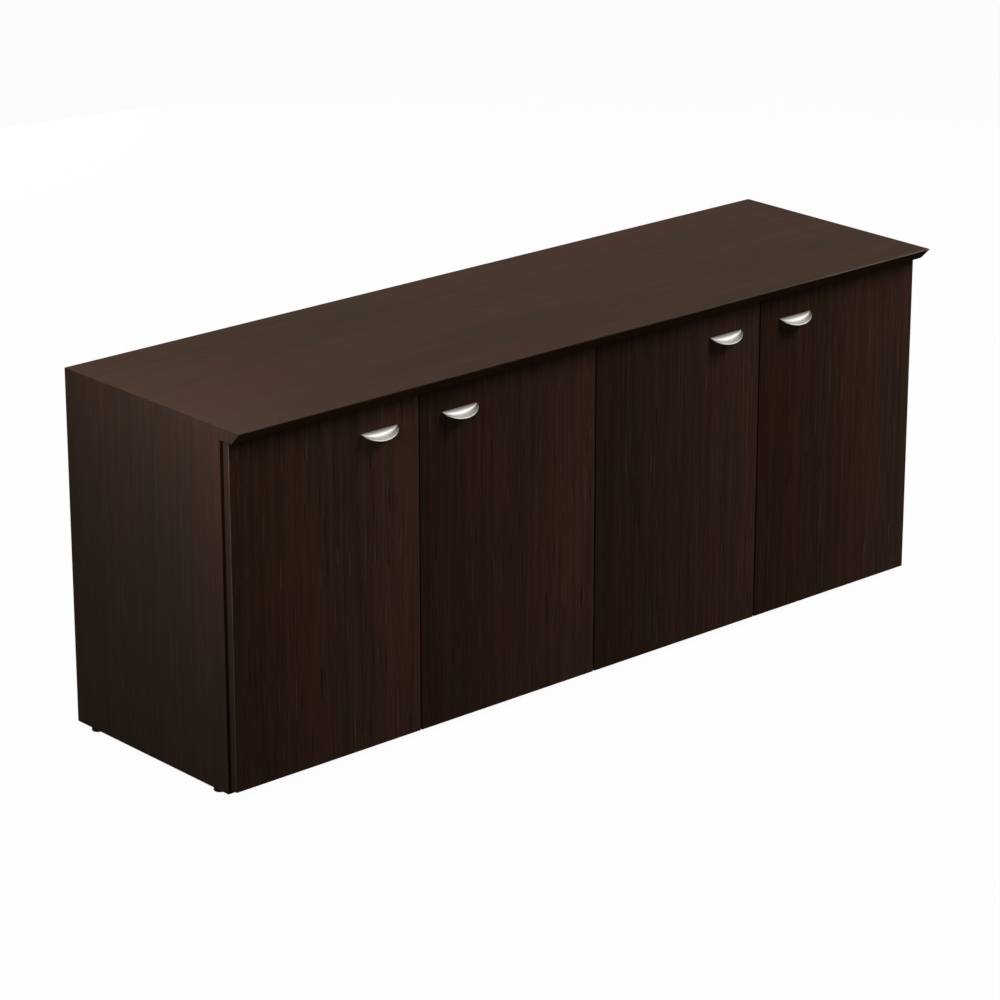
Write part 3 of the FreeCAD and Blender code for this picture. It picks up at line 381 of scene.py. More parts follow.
def finished(mesh, name, finishes, sharp=40):
    """Object from a mesh, smooth where its faces meet at less than the sharp angle."""
    bmesh.ops.recalc_face_normals(mesh, faces=mesh.faces)
    data = settled(mesh, name)
    for finish in finishes:
        data.materials.append(finish)
    data.polygons.foreach_set("use_smooth", [True] * len(data.polygons))
    data.set_sharp_from_angle(angle=math.radians(sharp))
    piece = shown(name, data)
    even = piece.modifiers.new("even_shading", "WEIGHTED_NORMAL")
    even.keep_sharp = True
    return piece


print("finishing helpers ready")


# %% Boards and fittings from their cut solids
SAME_POINT = 1e-6
FLAT_ENOUGH = math.radians(0.5)
ARRIS_ANGLE = math.radians(30)


def welded(node):
    """Working copy of a cut part's mesh, with the corners of its triangles joined."""
    mesh = bmesh.new()
    mesh.from_mesh(parts[node].data)
    bmesh.ops.remove_doubles(mesh, verts=mesh.verts, dist=SAME_POINT)
    return mesh


def cut_copy(node):
    """Copy of a cut part with the triangles of each flat face joined up again."""
    mesh = welded(node)
    bmesh.ops.dissolve_limit(mesh, angle_limit=FLAT_ENOUGH, verts=mesh.verts, edges=mesh.edges)
    return mesh


def round_arrises(mesh, ease, shortest, segments=3):
    """Round off every sharp edge that is longer than the shortest given."""
    arrises = []
    for edge in mesh.edges:
        if edge.is_manifold and edge.calc_length() > shortest and edge.calc_face_angle() > ARRIS_ANGLE:
            arrises.append(edge)
    bmesh.ops.bevel(
        mesh, geom=arrises, offset=ease, segments=segments, profile=0.5,
        affect="EDGES", clamp_overlap=False,
    )


print("board helpers ready")


# %% Turned surfaces
def spin(mesh, rows, seat, steps=32):
    """Closed turned surface from (height, radius) rows; a radius may be a function of angle."""
    rings = []
    for height, radius in rows:
        if radius == 0:
            rings.append([mesh.verts.new(seat @ Vector((0, 0, height)))])
            continue
        ring = []
        for turn in range(steps):
            angle = 2 * math.pi * turn / steps
            reach = radius(angle) if callable(radius) else radius
            point = Vector((reach * math.cos(angle), reach * math.sin(angle), height))
            ring.append(mesh.verts.new(seat @ point))
        rings.append(ring)
    for low, high in zip(rings, rings[1:]):
        for turn in range(steps):
            after = (turn + 1) % steps
            corners = []
            for ring, index in ((low, turn), (low, after), (high, after), (high, turn)):
                vertex = ring[index % len(ring)]
                if vertex not in corners:
                    corners.append(vertex)
            mesh.faces.new(corners)


def pointing(along, sense=1.0):
    """Direction along x, y or z, counted from 0."""
    direction = Vector((0, 0, 0))
    direction[along] = sense
    return direction


def seat_at(point, along, sense=1.0):
    """Place and turn that put z=0 at a point, with z along an axis or against it."""
    turn = pointing(along, sense).to_track_quat("Z", "Y").to_matrix().to_4x4()
    return Matrix.Translation(point) @ turn


print("lathe ready")


# %% Places of the cut solids
def solids_in(node):
    """Corner points of each separate solid of a cut part."""
    mesh = welded(node)
    solids, reached = [], set()
    for first in mesh.verts:
        if first in reached:
            continue
        reached.add(first)
        waiting, points = [first], []
        while waiting:
            vertex = waiting.pop()
            points.append(vertex.co.copy())
            for edge in vertex.link_edges:
                other = edge.other_vert(vertex)
                if other not in reached:
                    reached.add(other)
                    waiting.append(other)
        solids.append(points)
    mesh.free()
    return solids


def box_of(points):
    """Low and high corner of the box round some points."""
    low = Vector([min(point[axis] for point in points) for axis in range(3)])
    high = Vector([max(point[axis] for point in points) for axis in range(3)])
    return low, high


def middle_of(points):
    """Middle of the box round some points, and its size."""
    low, high = box_of(points)
    return (low + high) / 2, high - low


def spread_along(points, middle, along):
    """(place along an axis, distance from the solid's middle line) of each point."""
    aside = [side for side in range(3) if side != along]
    centre = [middle[side] for side in aside]
    return [(point[along], math.dist([point[side] for side in aside], centre)) for point in points]


print("measuring helpers ready")

# %% [markdown]
# ## The boards
# Each board is laminated on its two faces and banded on its edges, and its holes show the
# chipboard. So a board takes several finishes, and every face of the mesh picks one: by whether
# it came from the rounding of an arris, by how deep it lies in the board, and by whether it
# looks along the board's thickness. The arrises are rounded by well under a millimetre, as a
# banding trimmer leaves them.


# %% Boards of the case
BAND, CORE, ARRIS = 1, 2, 3  # places in a board's list of finishes; its faces keep 0
LONG_ARRIS = 9 * MM
SKIN = 1.2 * MM              # a small face deeper than this is the wall of a hole
HOLE_AREA = 4e-4             # square metres
ARRIS_AREA = 1.2e-3


def dress_board(node, thickness, face_finish, band_finish, ease=0.6 * MM, arris_finish=None):
    """Board with rounded arrises, laminated faces, banded edges and chipboard in its holes."""
    mesh = cut_copy(node)
    round_arrises(mesh, ease, LONG_ARRIS)
    low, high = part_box(node)
    axis = "xyz".index(thickness)
    for face in mesh.faces:
        middle = face.calc_center_median()
        depth = min(min(middle[side] - low[side], high[side] - middle[side]) for side in range(3))
        slant = max(abs(part) for part in face.normal) < 0.999
        if depth > SKIN and face.calc_area() < HOLE_AREA:
            face.material_index = CORE
        elif slant and depth < ease and face.calc_area() < ARRIS_AREA:
            face.material_index = ARRIS
        elif abs(face.normal[axis]) < 0.8:
            face.material_index = BAND
    finishes = (face_finish, band_finish, chipboard, arris_finish or band_finish)
    return stand_for(finished(mesh, f"{node}_board", finishes), node)


# Painted light: the uprights, the top's ends and the end doors' outer edges use a paler, greyer copy of the
# same walnut print, standing for the light that falls on the left end.
LIT_SIDE_TINT = (1.13, 1.38, 1.65)
# Painted shade: the band on the uprights' and back panels' edges is tinted darker, standing for the shade in
# the gap between a gable and the door in front of it.
shaded_gable_band = edge_band("shaded_gable_band", "z", 8.0, (0.60, 0.52, 0.40))
for seed, upright in enumerate(("left_gable", "centre_partition", "right_gable")):
    face = laminate(f"{upright}_laminate", "z", 20.0 + 7 * seed, LIT_SIDE_TINT, 0.4)
    dress_board(upright, "x", face, shaded_gable_band, arris_finish=face)
inner_face = laminate("inner_laminate", "x", 61.0, PLAIN, 0.6)
inner_band = edge_band("inner_band", "x", 62.0)
back_face = laminate("back_laminate", "z", 71.0, PLAIN, 0.6)
for side in ("left", "right"):
    for board in ("bottom_panel", "front_rail", "shelf"):
        dress_board(f"{side}_{board}", "z", inner_face, inner_band)
    dress_board(f"{side}_back_panel", "y", back_face, shaded_gable_band)
print("boards of the case dressed")

# %% [markdown]
# ## The top and its thin nose
# Under its front edge the top is cut back at 45 degrees, so that only a nose two millimetres
# thick is left to see. It starts as any other board and then gets more finishes, because its
# edges lead different lives: the ends carry the upright grain and the paler tone of the gables
# that they meet, a tone that is painted light; the cut-back is never touched and has no sheen, and
# is tinted paler, painted light that lifts the shade under the nose; and the nose carries a pale
# line, partly worn where people lean on it and partly a painted highlight that grows to the right.

# %% Top
CUT_BACK, NOSE = 4, 5
NOSE_DEPTH = 1.5 * MM
# Painted light: the top's face is a slightly greyer copy of the print, standing for how the light from above
# falls on it.
LIT_TOP_TINT = (0.95, 1.07, 1.16)
top_face = laminate("top_laminate", "x", 3.0, LIT_TOP_TINT, 0.45)
end_band = laminate("top_end_band", "z", 20.0, LIT_SIDE_TINT, 0.4)
# Painted light: the cut-back under the nose is tinted paler, lifting the shade that falls there; it has no
# sheen.
cut_back_painted_light = edge_band("top_cut_back", "x", 5.0, (1.35, 1.35, 1.10), 0.0)
top = dress_board("top_panel", "z", top_face, end_band, 0.7 * MM)
top.data.materials.append(cut_back_painted_light)
top.data.materials.append(nose_wear_and_highlight)
front_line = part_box("top_panel")[0][1]
for face in top.data.polygons:
    if face.center.y < front_line + NOSE_DEPTH:
        face.material_index = NOSE
    elif face.normal.y < -0.5 and face.normal.z < -0.5:
        face.material_index = CUT_BACK
print("top dressed with", len(top.data.materials), "finishes")

# %% [markdown]
# ## The doors
# A door is a laminated slab with upright grain. Its tone rises a little from its left edge to
# its right one, as the print does, so each door passes its own two edges to the recipe. The
# coordinates belong to the door's own mesh, and the pattern swings with it. The outer edges of
# the two end doors are banded in the gables' paler tone, which is painted light, and their
# arrises carry a pale line that is partly wear and partly a painted highlight.

# %% Doors
OUTER_BAND, OUTER_ARRIS = 4, 5
# painted light: the end doors' outer edges take the paler side tone, and their arrises the pale line of wear
# and painted highlight
outer_band = edge_band("outer_door_band", "z", 150.0, LIT_SIDE_TINT)
for number in DOORS:
    node = f"door_{number}_panel"
    low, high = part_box(node)
    face = laminate(f"door_{number}_laminate", "z", 100.0 + 13 * number, sweep=(low[0], high[0]))
    band = edge_band(f"door_{number}_band", "z", 140.0 + number)
    door = dress_board(node, "y", face, band, 0.5 * MM)
    outer_edge = {1: low[0], 4: high[0]}.get(number)
    if outer_edge is not None:
        door.data.materials.append(outer_band)
        door.data.materials.append(door_wear_and_highlight)
        for side in door.data.polygons:
            if abs(side.center.x - outer_edge) < MM:
                side.material_index = OUTER_BAND if abs(side.normal.x) > 0.99 else OUTER_ARRIS
print(len(DOORS), "doors dressed")

# %% [markdown]
# ## The half-moon pulls
# A pull is a thin cast lip. Its back edge is straight and lies on the door; from there the metal
# comes down and out in a round, and ends in a flat lip for the fingertips. Towards both ends the
# whole section shrinks as half an ellipse does, and that makes the half moon. So points are laid
# along the section at each of many stations, once for the outside and once for the inside, and
# subdivision rounds the rims. Two posts behind the lip take the screws.

# %% Pulls
PULL_ROUND = 16.5 * MM
PULL_TAPER = 1.2
PULL_PLATE = 2.0 * MM
PULL_END = 0.995
POST_SPREAD = 16 * MM
POST_DROP = 9.5 * MM
POST_RADIUS = 3.6 * MM
POST_HEIGHT = 3.2 * MM
COLUMNS = 30
ROUND_SHARES = (0.0, 0.06, 0.2, 0.4, 0.6, 0.8, 1.0)
FLAT_SHARES = (0.35, 0.7, 0.9, 1.0)


def lip_line(reach, size, inside):
    """(out, down) points along one section; size is 1 at mid width and near 0 at the ends."""
    drop = PULL_ROUND * size ** PULL_TAPER
    radius = drop - inside * PULL_PLATE * size ** (PULL_TAPER / 2)
    line = []
    for share in ROUND_SHARES:
        angle = share * math.pi / 2
        line.append((drop - radius * math.cos(angle), radius * math.sin(angle)))
    for share in FLAT_SHARES:
        line.append((drop + (reach * size - drop) * share, radius))
    return line


def dress_pull(number):
    """Half-moon pull on one door."""
    node = f"door_{number}_pull"
    low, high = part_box(node)
    reach, half_width = high[1] - low[1], (high[0] - low[0]) / 2
    edge = Vector(((low[0] + high[0]) / 2, high[1], high[2]))
    mesh = bmesh.new()
    outer, inner = [], []
    for column in range(COLUMNS + 1):
        across = -math.cos(math.pi * column / COLUMNS)
        size = math.sqrt(1 - (PULL_END * across) ** 2)
        for sheet, inside in ((outer, 0.0), (inner, 1.0)):
            line = []
            for out, down in lip_line(reach, size, inside):
                line.append(mesh.verts.new(edge + Vector((half_width * across, -out, -down))))
            sheet.append(line)
    last = len(ROUND_SHARES) + len(FLAT_SHARES) - 1
    for column in range(COLUMNS):
        for row in range(last):
            for sheet in (outer, inner):
                mesh.faces.new((sheet[column][row], sheet[column + 1][row],
                                sheet[column + 1][row + 1], sheet[column][row + 1]))
        for row in (0, last):
            mesh.faces.new((outer[column][row], outer[column + 1][row],
                            inner[column + 1][row], inner[column][row]))
    for column in (0, COLUMNS):
        for row in range(last):
            mesh.faces.new((outer[column][row], outer[column][row + 1],
                            inner[column][row + 1], inner[column][row]))
    for side in (-1, 1):
        foot = edge + Vector((side * POST_SPREAD, 0, -POST_DROP))
        rows = ((0, 0), (0, 0.9 * POST_RADIUS), (0, POST_RADIUS), (0.3 * MM, POST_RADIUS),
                (0.9 * POST_HEIGHT, POST_RADIUS), (POST_HEIGHT, 0.9 * POST_RADIUS), (POST_HEIGHT, 0))
        spin(mesh, rows, seat_at(foot, 1, -1.0), 16)
    piece = finished(mesh, f"{node}_lip", (satin_nickel,), 180)
    piece.modifiers.clear()
    smooth = piece.modifiers.new("round_rims", "SUBSURF")
    smooth.levels = 2
    smooth.render_levels = 2
    stand_for(piece, node)


for number in DOORS:
    dress_pull(number)
print(len(DOORS), "pulls modelled")

# %% [markdown]
# ## Screws
# All screws here share one pattern: a low domed head with a cross recess, and a thread. The
# thread is a turned surface whose radius follows the angle, so the crest climbs by one pitch a
# turn. The recess is cut once from a master screw with a boolean, and the result is copied to
# every place that the cut solids give: the wider end of a solid is its head.


# %% Screws
def thread_rows(start, end, radius, pitch, depth):
    """Rows of a helical thread between two heights, four to a turn."""
    rows = []
    count = max(2, round(abs(end - start) / pitch * 4))
    for index in range(count + 1):
        height = start + (end - start) * index / count

        def reach(angle, height=height):
            phase = (height / pitch - angle / (2 * math.pi)) % 1.0
            return radius - depth * abs(2 * phase - 1)

        rows.append((height, reach))
    return rows


def cross_cutter(width, reach, depth):
    """Tapered cross that cuts a driver recess."""
    mesh = bmesh.new()
    for turn in (0, math.pi / 2):
        made = bmesh.ops.create_cube(mesh, size=1.0)
        for vertex in made["verts"]:
            length = 2 * reach * (0.55 if vertex.co.z < 0 else 1.0)
            vertex.co = Vector((vertex.co.x * length, vertex.co.y * width, vertex.co.z * 2 * depth))
            vertex.co.rotate(Matrix.Rotation(turn, 3, "Z"))
    return settled(mesh, "cross_cutter")


def add_copy(mesh, master, place):
    """Add a copy of finished mesh data to a working mesh, at a place."""
    copy = master.copy()
    copy.transform(place)
    mesh.from_mesh(copy)
    bpy.data.meshes.remove(copy)


def carved(data, cutter, places):
    """Mesh with copies of a cutter taken out of it."""
    tool_mesh = bmesh.new()
    for place in places:
        add_copy(tool_mesh, cutter, place)
    body = shown("carving", data)
    tool = shown("cutters", settled(tool_mesh, "cutters"))
    cutting = body.modifiers.new("recess", "BOOLEAN")
    cutting.operation, cutting.solver, cutting.object = "DIFFERENCE", "EXACT", tool
    cutting.use_self = True
    cutting.use_hole_tolerant = True
    bpy.context.view_layer.update()
    result = bpy.data.meshes.new_from_object(body.evaluated_get(bpy.context.evaluated_depsgraph_get()))
    for thing in (body, tool):
        bpy.data.objects.remove(thing)
    return result


# shares of a head's height and radius, from the middle of its dome down
HEAD_DOME = ((1, 0), (1, 0.55), (0.86, 0.80), (0.5, 0.96), (0.2, 1), (0, 0.97))


def master_screw(head_radius, head_height, shank_radius, length, pitch):
    """Screw that points down from its head's seat at z=0."""
    mesh = bmesh.new()
    rows = [(height * head_height, radius * head_radius) for height, radius in HEAD_DOME]
    rows.append((0, shank_radius))
    rows += thread_rows(-0.1 * MM, 1.6 * shank_radius - length, shank_radius, pitch, 0.26 * shank_radius)
    rows += [(0.5 * shank_radius - length, 0.4 * shank_radius), (-length, 0)]
    spin(mesh, rows, Matrix.Identity(4), 16)
    bmesh.ops.recalc_face_normals(mesh, faces=mesh.faces)
    cutter = cross_cutter(0.22 * head_radius, 0.62 * head_radius, 0.75 * head_height)
    return carved(settled(mesh, "master_screw"), cutter, [Matrix.Translation((0, 0, head_height))])


print("master screw recipe ready")


# %% Screws in their places
ON_AXIS = 0.2 * MM           # a point nearer than this to the middle line lies on it


def dress_screws(node, axis, pitch):
    """Screws at the places that the cut solids of one node give."""
    along = "xyz".index(axis)
    mesh = bmesh.new()
    master = None
    solids = solids_in(node)
    for points in solids:
        middle, size = middle_of(points)
        spread = spread_along(points, middle, along)
        head_radius = max(radius for _, radius in spread)
        heads = [place for place, radius in spread if radius > 0.98 * head_radius]
        shank_radius = min(radius for _, radius in spread if radius > ON_AXIS)
        head_height = max(heads) - min(heads)
        length = size[along] - head_height
        upward = sum(heads) / len(heads) > middle[along]
        if master is None:
            master = master_screw(head_radius, head_height, shank_radius, length, pitch)
        seat = Vector(middle)
        seat[along] = min(heads) if upward else max(heads)
        add_copy(mesh, master, seat_at(seat, along, 1.0 if upward else -1.0))
    stand_for(finished(mesh, f"{node}_set", (screw_steel,)), node)
    print(node, len(solids))


WOOD_PITCH = 1.8 * MM
FINE_PITCH = 1.2 * MM
dress_screws("hinge_plate_screws", "x", WOOD_PITCH)
dress_screws("top_screws", "z", WOOD_PITCH)
for number in DOORS:
    for fastened in ("cup", "pull"):
        dress_screws(f"door_{number}_{fastened}_screws", "y", FINE_PITCH)

# %% [markdown]
# ## Concealed hinges
# A hinge has three visible members: a deep-drawn cup let into the door, an arm on a plate inside
# the case, and a gooseneck link between them. Arm, plate and link are folded and pressed steel,
# so copies of the cut solids with rounded edges serve well. The cup is different: it is one
# surface swept round its centre, whose flange grows into two ears where the screws sit.


# %% Hinge arms, links, plates and pins
def dress_fitting(node, ease, shortest, finish=hinge_steel):
    """Metal fitting with rounded edges."""
    mesh = cut_copy(node)
    round_arrises(mesh, ease, shortest, 2)
    stand_for(finished(mesh, f"{node}_steel", (finish,)), node)


for number in DOORS:
    dress_fitting(f"door_{number}_hinge_arms", 0.8 * MM, 5.5 * MM)
    dress_fitting(f"door_{number}_hinge_links", 0.4 * MM, 2.5 * MM)
for carrier in ("gable", "partition"):
    dress_fitting(f"{carrier}_hinge_plates", 0.5 * MM, 1.9 * MM)


def dress_rods(node, axis, rows_for, finish, steps=24):
    """Turned pieces on the places and lengths of a node's solids."""
    along = "xyz".index(axis)
    mesh = bmesh.new()
    for points in solids_in(node):
        middle, size = middle_of(points)
        across = [size[side] for side in range(3) if side != along]
        foot = Vector(middle)
        foot[along] -= size[along] / 2
        spin(mesh, rows_for(max(across) / 2, size[along]), seat_at(foot, along), steps)
    stand_for(finished(mesh, f"{node}_turned", (finish,)), node)


def chamfered(radius, length):
    """Plain bar with small chamfers."""
    chamfer = 0.3 * MM
    return ((0, 0), (0, radius - chamfer), (chamfer, radius), (length - chamfer, radius),
            (length, radius - chamfer), (length, 0))


dress_rods("hinge_arm_pins", "z", chamfered, hinge_steel)
print("arms, links and plates dressed")

# %% [markdown]
# ## Hinge cups and adjusting screws
# The sweep works in polar steps: at each angle the outer edge of the flange is as far out as the
# round cup or the ear, whichever is more. Going down the rows, the surface runs up the rim, over
# the lip, down the inside of the cup and back under it. Each arm also has two screws that a
# fitter turns to set the door, and they sit proud of the arm by less than a millimetre.

# %% Hinge cups
CUP_RADIUS = 17.5 * MM
CUP_DEPTH = 12 * MM
CUP_WALL = 1.2 * MM
FLANGE = 1.0 * MM
EAR_HALF = 29 * MM
EAR_CORNER = 6 * MM
EAR_TRIES = 400
CUP_INSET = 4 * MM           # near side of the cup, in from the hinge edge of the door
PIN_INSET = 10.5 * MM        # pin, in from the same edge
PIN_DEPTH = 3 * MM           # pin below the back face of the door
PIN_RADIUS = 1.5 * MM
PIN_HALF = 13.5 * MM
HINGED_LEFT = (1, 3)


def inward(number):
    """+1 where a door hangs on its left edge, -1 where it hangs on its right edge."""
    return 1.0 if number in HINGED_LEFT else -1.0


def ear_reach(angle, ear_width):
    """Distance from the cup's centre to the flange's outline, ears up and down on one side."""
    x, z = math.cos(angle), math.sin(angle)
    for tried in range(EAR_TRIES):
        reach = EAR_HALF * 1.1 * (1 - tried / EAR_TRIES)
        px, pz = reach * x, reach * z
        if px < 0 or px > ear_width:
            continue
        corner_x = max(px - (ear_width - EAR_CORNER), EAR_CORNER - px, 0)
        corner_z = max(abs(pz) - (EAR_HALF - EAR_CORNER), 0)
        if math.hypot(corner_x, corner_z) <= EAR_CORNER and abs(pz) <= EAR_HALF:
            return max(CUP_RADIUS, reach)
    return CUP_RADIUS


def dress_cups(number):
    """Two cups on one door."""
    node = f"door_{number}_hinge_cups"
    mesh = bmesh.new()
    sense = inward(number)
    for points in solids_in(node):
        low, high = box_of(points)
        centre_x = low.x + CUP_RADIUS if sense > 0 else high.x - CUP_RADIUS
        centre = Vector((centre_x, high.y - FLANGE, (low.z + high.z) / 2))
        ear_width = high.x - low.x - CUP_RADIUS
        outline = {}

        def flange(angle, less=0.0):
            key = round(math.degrees(angle), 3)
            if key not in outline:
                outline[key] = ear_reach(angle, ear_width)
            return outline[key] - less

        inside, floor = CUP_RADIUS - CUP_WALL, CUP_WALL - CUP_DEPTH
        rows = [(0, flange), (0.7 * FLANGE, flange), (FLANGE, lambda angle: flange(angle, 0.3 * MM)),
                (FLANGE, inside + 0.9 * MM), (0.7 * FLANGE, inside + 0.2 * MM), (0, inside),
                (floor + 2.2 * MM, inside), (floor + 0.6 * MM, inside - 0.7 * MM), (floor, inside - 2.4 * MM),
                (floor, 0.5 * inside), (floor, 0)]
        seat = Matrix.Translation(centre) @ Matrix((
            (sense, 0, 0, 0), (0, 0, 1, 0), (0, 1, 0, 0), (0, 0, 0, 1)))
        spin(mesh, rows, seat, 72)
        under = [(0, flange), (0, CUP_RADIUS), (1.5 * MM - CUP_DEPTH, CUP_RADIUS),
                 (0.4 * MM - CUP_DEPTH, CUP_RADIUS - 0.6 * MM),
                 (-CUP_DEPTH, CUP_RADIUS - 2.2 * MM), (-CUP_DEPTH, 0)]
        spin(mesh, under, seat, 72)
        pin_x = centre.x - sense * (CUP_INSET + CUP_RADIUS - PIN_INSET)
        foot = Vector((pin_x, centre.y - PIN_DEPTH, centre.z - PIN_HALF))
        spin(mesh, chamfered(PIN_RADIUS, 2 * PIN_HALF), seat_at(foot, 2), 16)
    bmesh.ops.remove_doubles(mesh, verts=mesh.verts, dist=SAME_POINT)
    stand_for(finished(mesh, f"{node}_pressed", (hinge_steel,), 50), node)


print("cup recipe ready")


# %% Adjusting screws
ADJUSTER_PLACES = (22 * MM, 44 * MM)     # back from the front end of an arm


def dress_adjusters(number):
    """Adjusting and fixing screws on a door's two arms, part of the case."""
    node = f"door_{number}_hinge_arms"
    mesh = bmesh.new()
    sense = inward(number)
    master = master_screw(head_radius=3.4 * MM, head_height=0.9 * MM, shank_radius=2.0 * MM,
                          length=4.5 * MM, pitch=0.8 * MM)
    for points in solids_in(node):
        middle, size = middle_of(points)
        for back in ADJUSTER_PLACES:
            place = Vector((middle.x + sense * size.x / 2, middle.y - size.y / 2 + back, middle.z))
            add_copy(mesh, master, seat_at(place, 0, sense))
    piece = finished(mesh, f"door_{number}_hinge_adjusters", (screw_steel,))
    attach(piece, body_of[node])


for number in DOORS:
    dress_cups(number)
    dress_adjusters(number)
print("cups and adjusters modelled")

# %% [markdown]
# ## Knock-down fittings, pins and bumpers
# Cams, bolts and dowels hold the boards together, and mostly hide in them. A cam shows its flat
# face with a cross recess, so it keeps its cut shape and gets that recess. Dowels have shallow
# flutes that let glue out, shelf pins are short bars with rounded ends, bolts carry a coarse
# thread, and the bumpers are soft domes that stop a door from knocking.


# %% Cams
BAY_MIDDLE = 0.5             # cams further right than this face left


def dress_cams():
    """Cam locks with a cross recess in the face that shows."""
    node = "cam_locks"
    data = settled(cut_copy(node), "cams")
    places = []
    for points in solids_in(node):
        middle, size = middle_of(points)
        along = min(range(3), key=lambda side: size[side])
        axis, sense = (2, -1.0) if along == 2 else (0, -1.0 if middle.x > BAY_MIDDLE else 1.0)
        mouth = middle + pointing(axis, sense) * size[along] / 2
        places.append(seat_at(mouth, axis, sense) @ Matrix.Rotation(math.pi / 4, 4, "Z"))
    cutter = cross_cutter(width=1.6 * MM, reach=4.2 * MM, depth=2.2 * MM)
    recessed = carved(data, cutter, places)
    mesh = bmesh.new()
    mesh.from_mesh(recessed)
    stand_for(finished(mesh, f"{node}_recessed", (cast_zinc,), 30), node)
    return len(places)


print(dress_cams(), "cams")

# %% Shelf pins and dowels
FLUTES = 12
FLUTE_DEPTH = 0.25 * MM
DOWEL_CHAMFER = 1.2 * MM


def fluted(radius, length):
    """Dowel with flutes and chamfered ends."""
    def reach(angle):
        return radius - FLUTE_DEPTH * (0.5 + 0.5 * math.cos(FLUTES * angle))

    return ((0, 0), (0, 0.75 * radius), (DOWEL_CHAMFER, reach), (length - DOWEL_CHAMFER, reach),
            (length, 0.75 * radius), (length, 0))


def domed(radius, length):
    """Shelf pin with rounded ends."""
    rows = [(0, 0)]
    for share in (0.25, 0.5, 0.75, 1.0):
        angle = share * math.pi / 2
        rows.append((radius * 0.4 * (1 - math.cos(angle)), radius * math.sin(angle)))
    for height, reach in rows[::-1]:
        rows.append((length - height, reach))
    return rows


dress_rods("shelf_pins", "x", domed, screw_steel)
dress_rods("wood_dowels", "x", fluted, dowel_beech, 48)
print("pins and dowels turned")


# %% Bumpers
def dress_bumpers(number):
    """Soft domes on the back of a door."""
    node = f"door_{number}_bumpers"
    mesh = bmesh.new()
    for points in solids_in(node):
        middle, size = middle_of(points)
        foot = Vector((middle.x, middle.y - size.y / 2, middle.z))
        radius, height = size.x / 2, size.y
        rows = [(0, 0), (0, radius), (0.25 * height, radius)]
        for share in (0.2, 0.4, 0.6, 0.8):
            angle = share * math.pi / 2
            rows.append((height * (0.25 + 0.75 * math.sin(angle)), radius * math.cos(angle)))
        rows.append((height, 0))
        spin(mesh, rows, seat_at(foot, 1), 24)
    stand_for(finished(mesh, f"{node}_domes", (clear_bumper,), 60), node)


for number in DOORS:
    dress_bumpers(number)
print("bumpers moulded")


# %% Cam bolts
def dress_bolts():
    """Cam bolts with a coarse thread in the receiving board and a waisted neck in the cam."""
    node = "cam_bolts"
    mesh = bmesh.new()
    for points in solids_in(node):
        middle, size = middle_of(points)
        along = max(range(3), key=lambda side: size[side])
        spread = spread_along(points, middle, along)
        thick = max(radius for _, radius in spread)
        thin = min(radius for _, radius in spread if radius > ON_AXIS)
        shank = [place for place, radius in spread if radius > 0.98 * thick]
        length = size[along]
        shank_length = max(shank) - min(shank)
        sense = 1.0 if sum(shank) / len(shank) > middle[along] else -1.0
        foot = Vector(middle)
        foot[along] -= sense * length / 2
        thread_end = length - shank_length
        rows = [(0, 0), (0, 0.5 * thin)]
        rows += thread_rows(0.8 * MM, thread_end - 0.2 * MM, thin, 2.2 * MM, 0.28 * thin)
        neck, ball = 0.62 * thick, 0.95 * thick
        rows += [(thread_end, thin), (thread_end, thick - 0.3 * MM), (thread_end + 0.3 * MM, thick),
                 (length - 6.5 * MM, thick), (length - 6.0 * MM, neck), (length - 3.0 * MM, neck),
                 (length - 2.4 * MM, ball), (length - 0.6 * MM, ball), (length, 0.7 * thick), (length, 0)]
        spin(mesh, rows, seat_at(foot, along, sense), 20)
    stand_for(finished(mesh, f"{node}_threaded", (screw_steel,)), node)


dress_bolts()
print("cam bolts threaded")

# %% [markdown]
# ## Levelling glides
# Six glides lift the credenza a few millimetres off the floor. Each is one turned piece: a hard
# plastic pad with a soft edge, a collar with flats for a spanner, and a threaded stem that
# winds into a metal insert in the upright. The stem is modelled with its real pitch, because it
# comes into view when a glide is wound down.


# %% Glides and inserts
PAD_HEIGHT = 6.0 * MM
COLLAR_TOP = 7.6 * MM
COLLAR_CORNER = 6.95 * MM    # middle line to a rounded corner of the collar
COLLAR_FLAT = 6.15 * MM      # middle line to a flat of the collar
STEM_RADIUS = 4.0 * MM
STEM_PITCH = 1.25 * MM


def dress_glide(node):
    """Glide with a six-sided collar and a threaded stem."""
    low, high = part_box(node)
    foot = Vector(((low[0] + high[0]) / 2, (low[1] + high[1]) / 2, low[2]))
    pad_radius = (high[0] - low[0]) / 2

    def collar(angle):
        sector = (angle % (math.pi / 3)) - math.pi / 6
        return min(COLLAR_CORNER, COLLAR_FLAT / math.cos(sector))

    length = high[2] - low[2]
    rows = [(0, 0), (0, pad_radius - 1.6 * MM), (0.4 * MM, pad_radius - 0.7 * MM), (1.4 * MM, pad_radius),
            (4.6 * MM, pad_radius), (5.5 * MM, pad_radius - 0.4 * MM), (PAD_HEIGHT, pad_radius - 1.3 * MM),
            (PAD_HEIGHT, 8.0 * MM), (PAD_HEIGHT, collar), (COLLAR_TOP - 0.3 * MM, collar),
            (COLLAR_TOP, 6.0 * MM), (COLLAR_TOP, 3.4 * MM)]
    rows += thread_rows(COLLAR_TOP + 0.1 * MM, length - 0.8 * MM, STEM_RADIUS, STEM_PITCH, 0.65 * MM)
    rows += [(length, 3.0 * MM), (length, 0)]
    mesh = bmesh.new()
    spin(mesh, rows, Matrix.Translation(foot), 48)
    for face in mesh.faces:
        if face.calc_center_median().z > foot.z + COLLAR_TOP + 0.05 * MM:
            face.material_index = 1
    stand_for(finished(mesh, f"{node}_moulded", (moulded_black, screw_steel), 50), node)


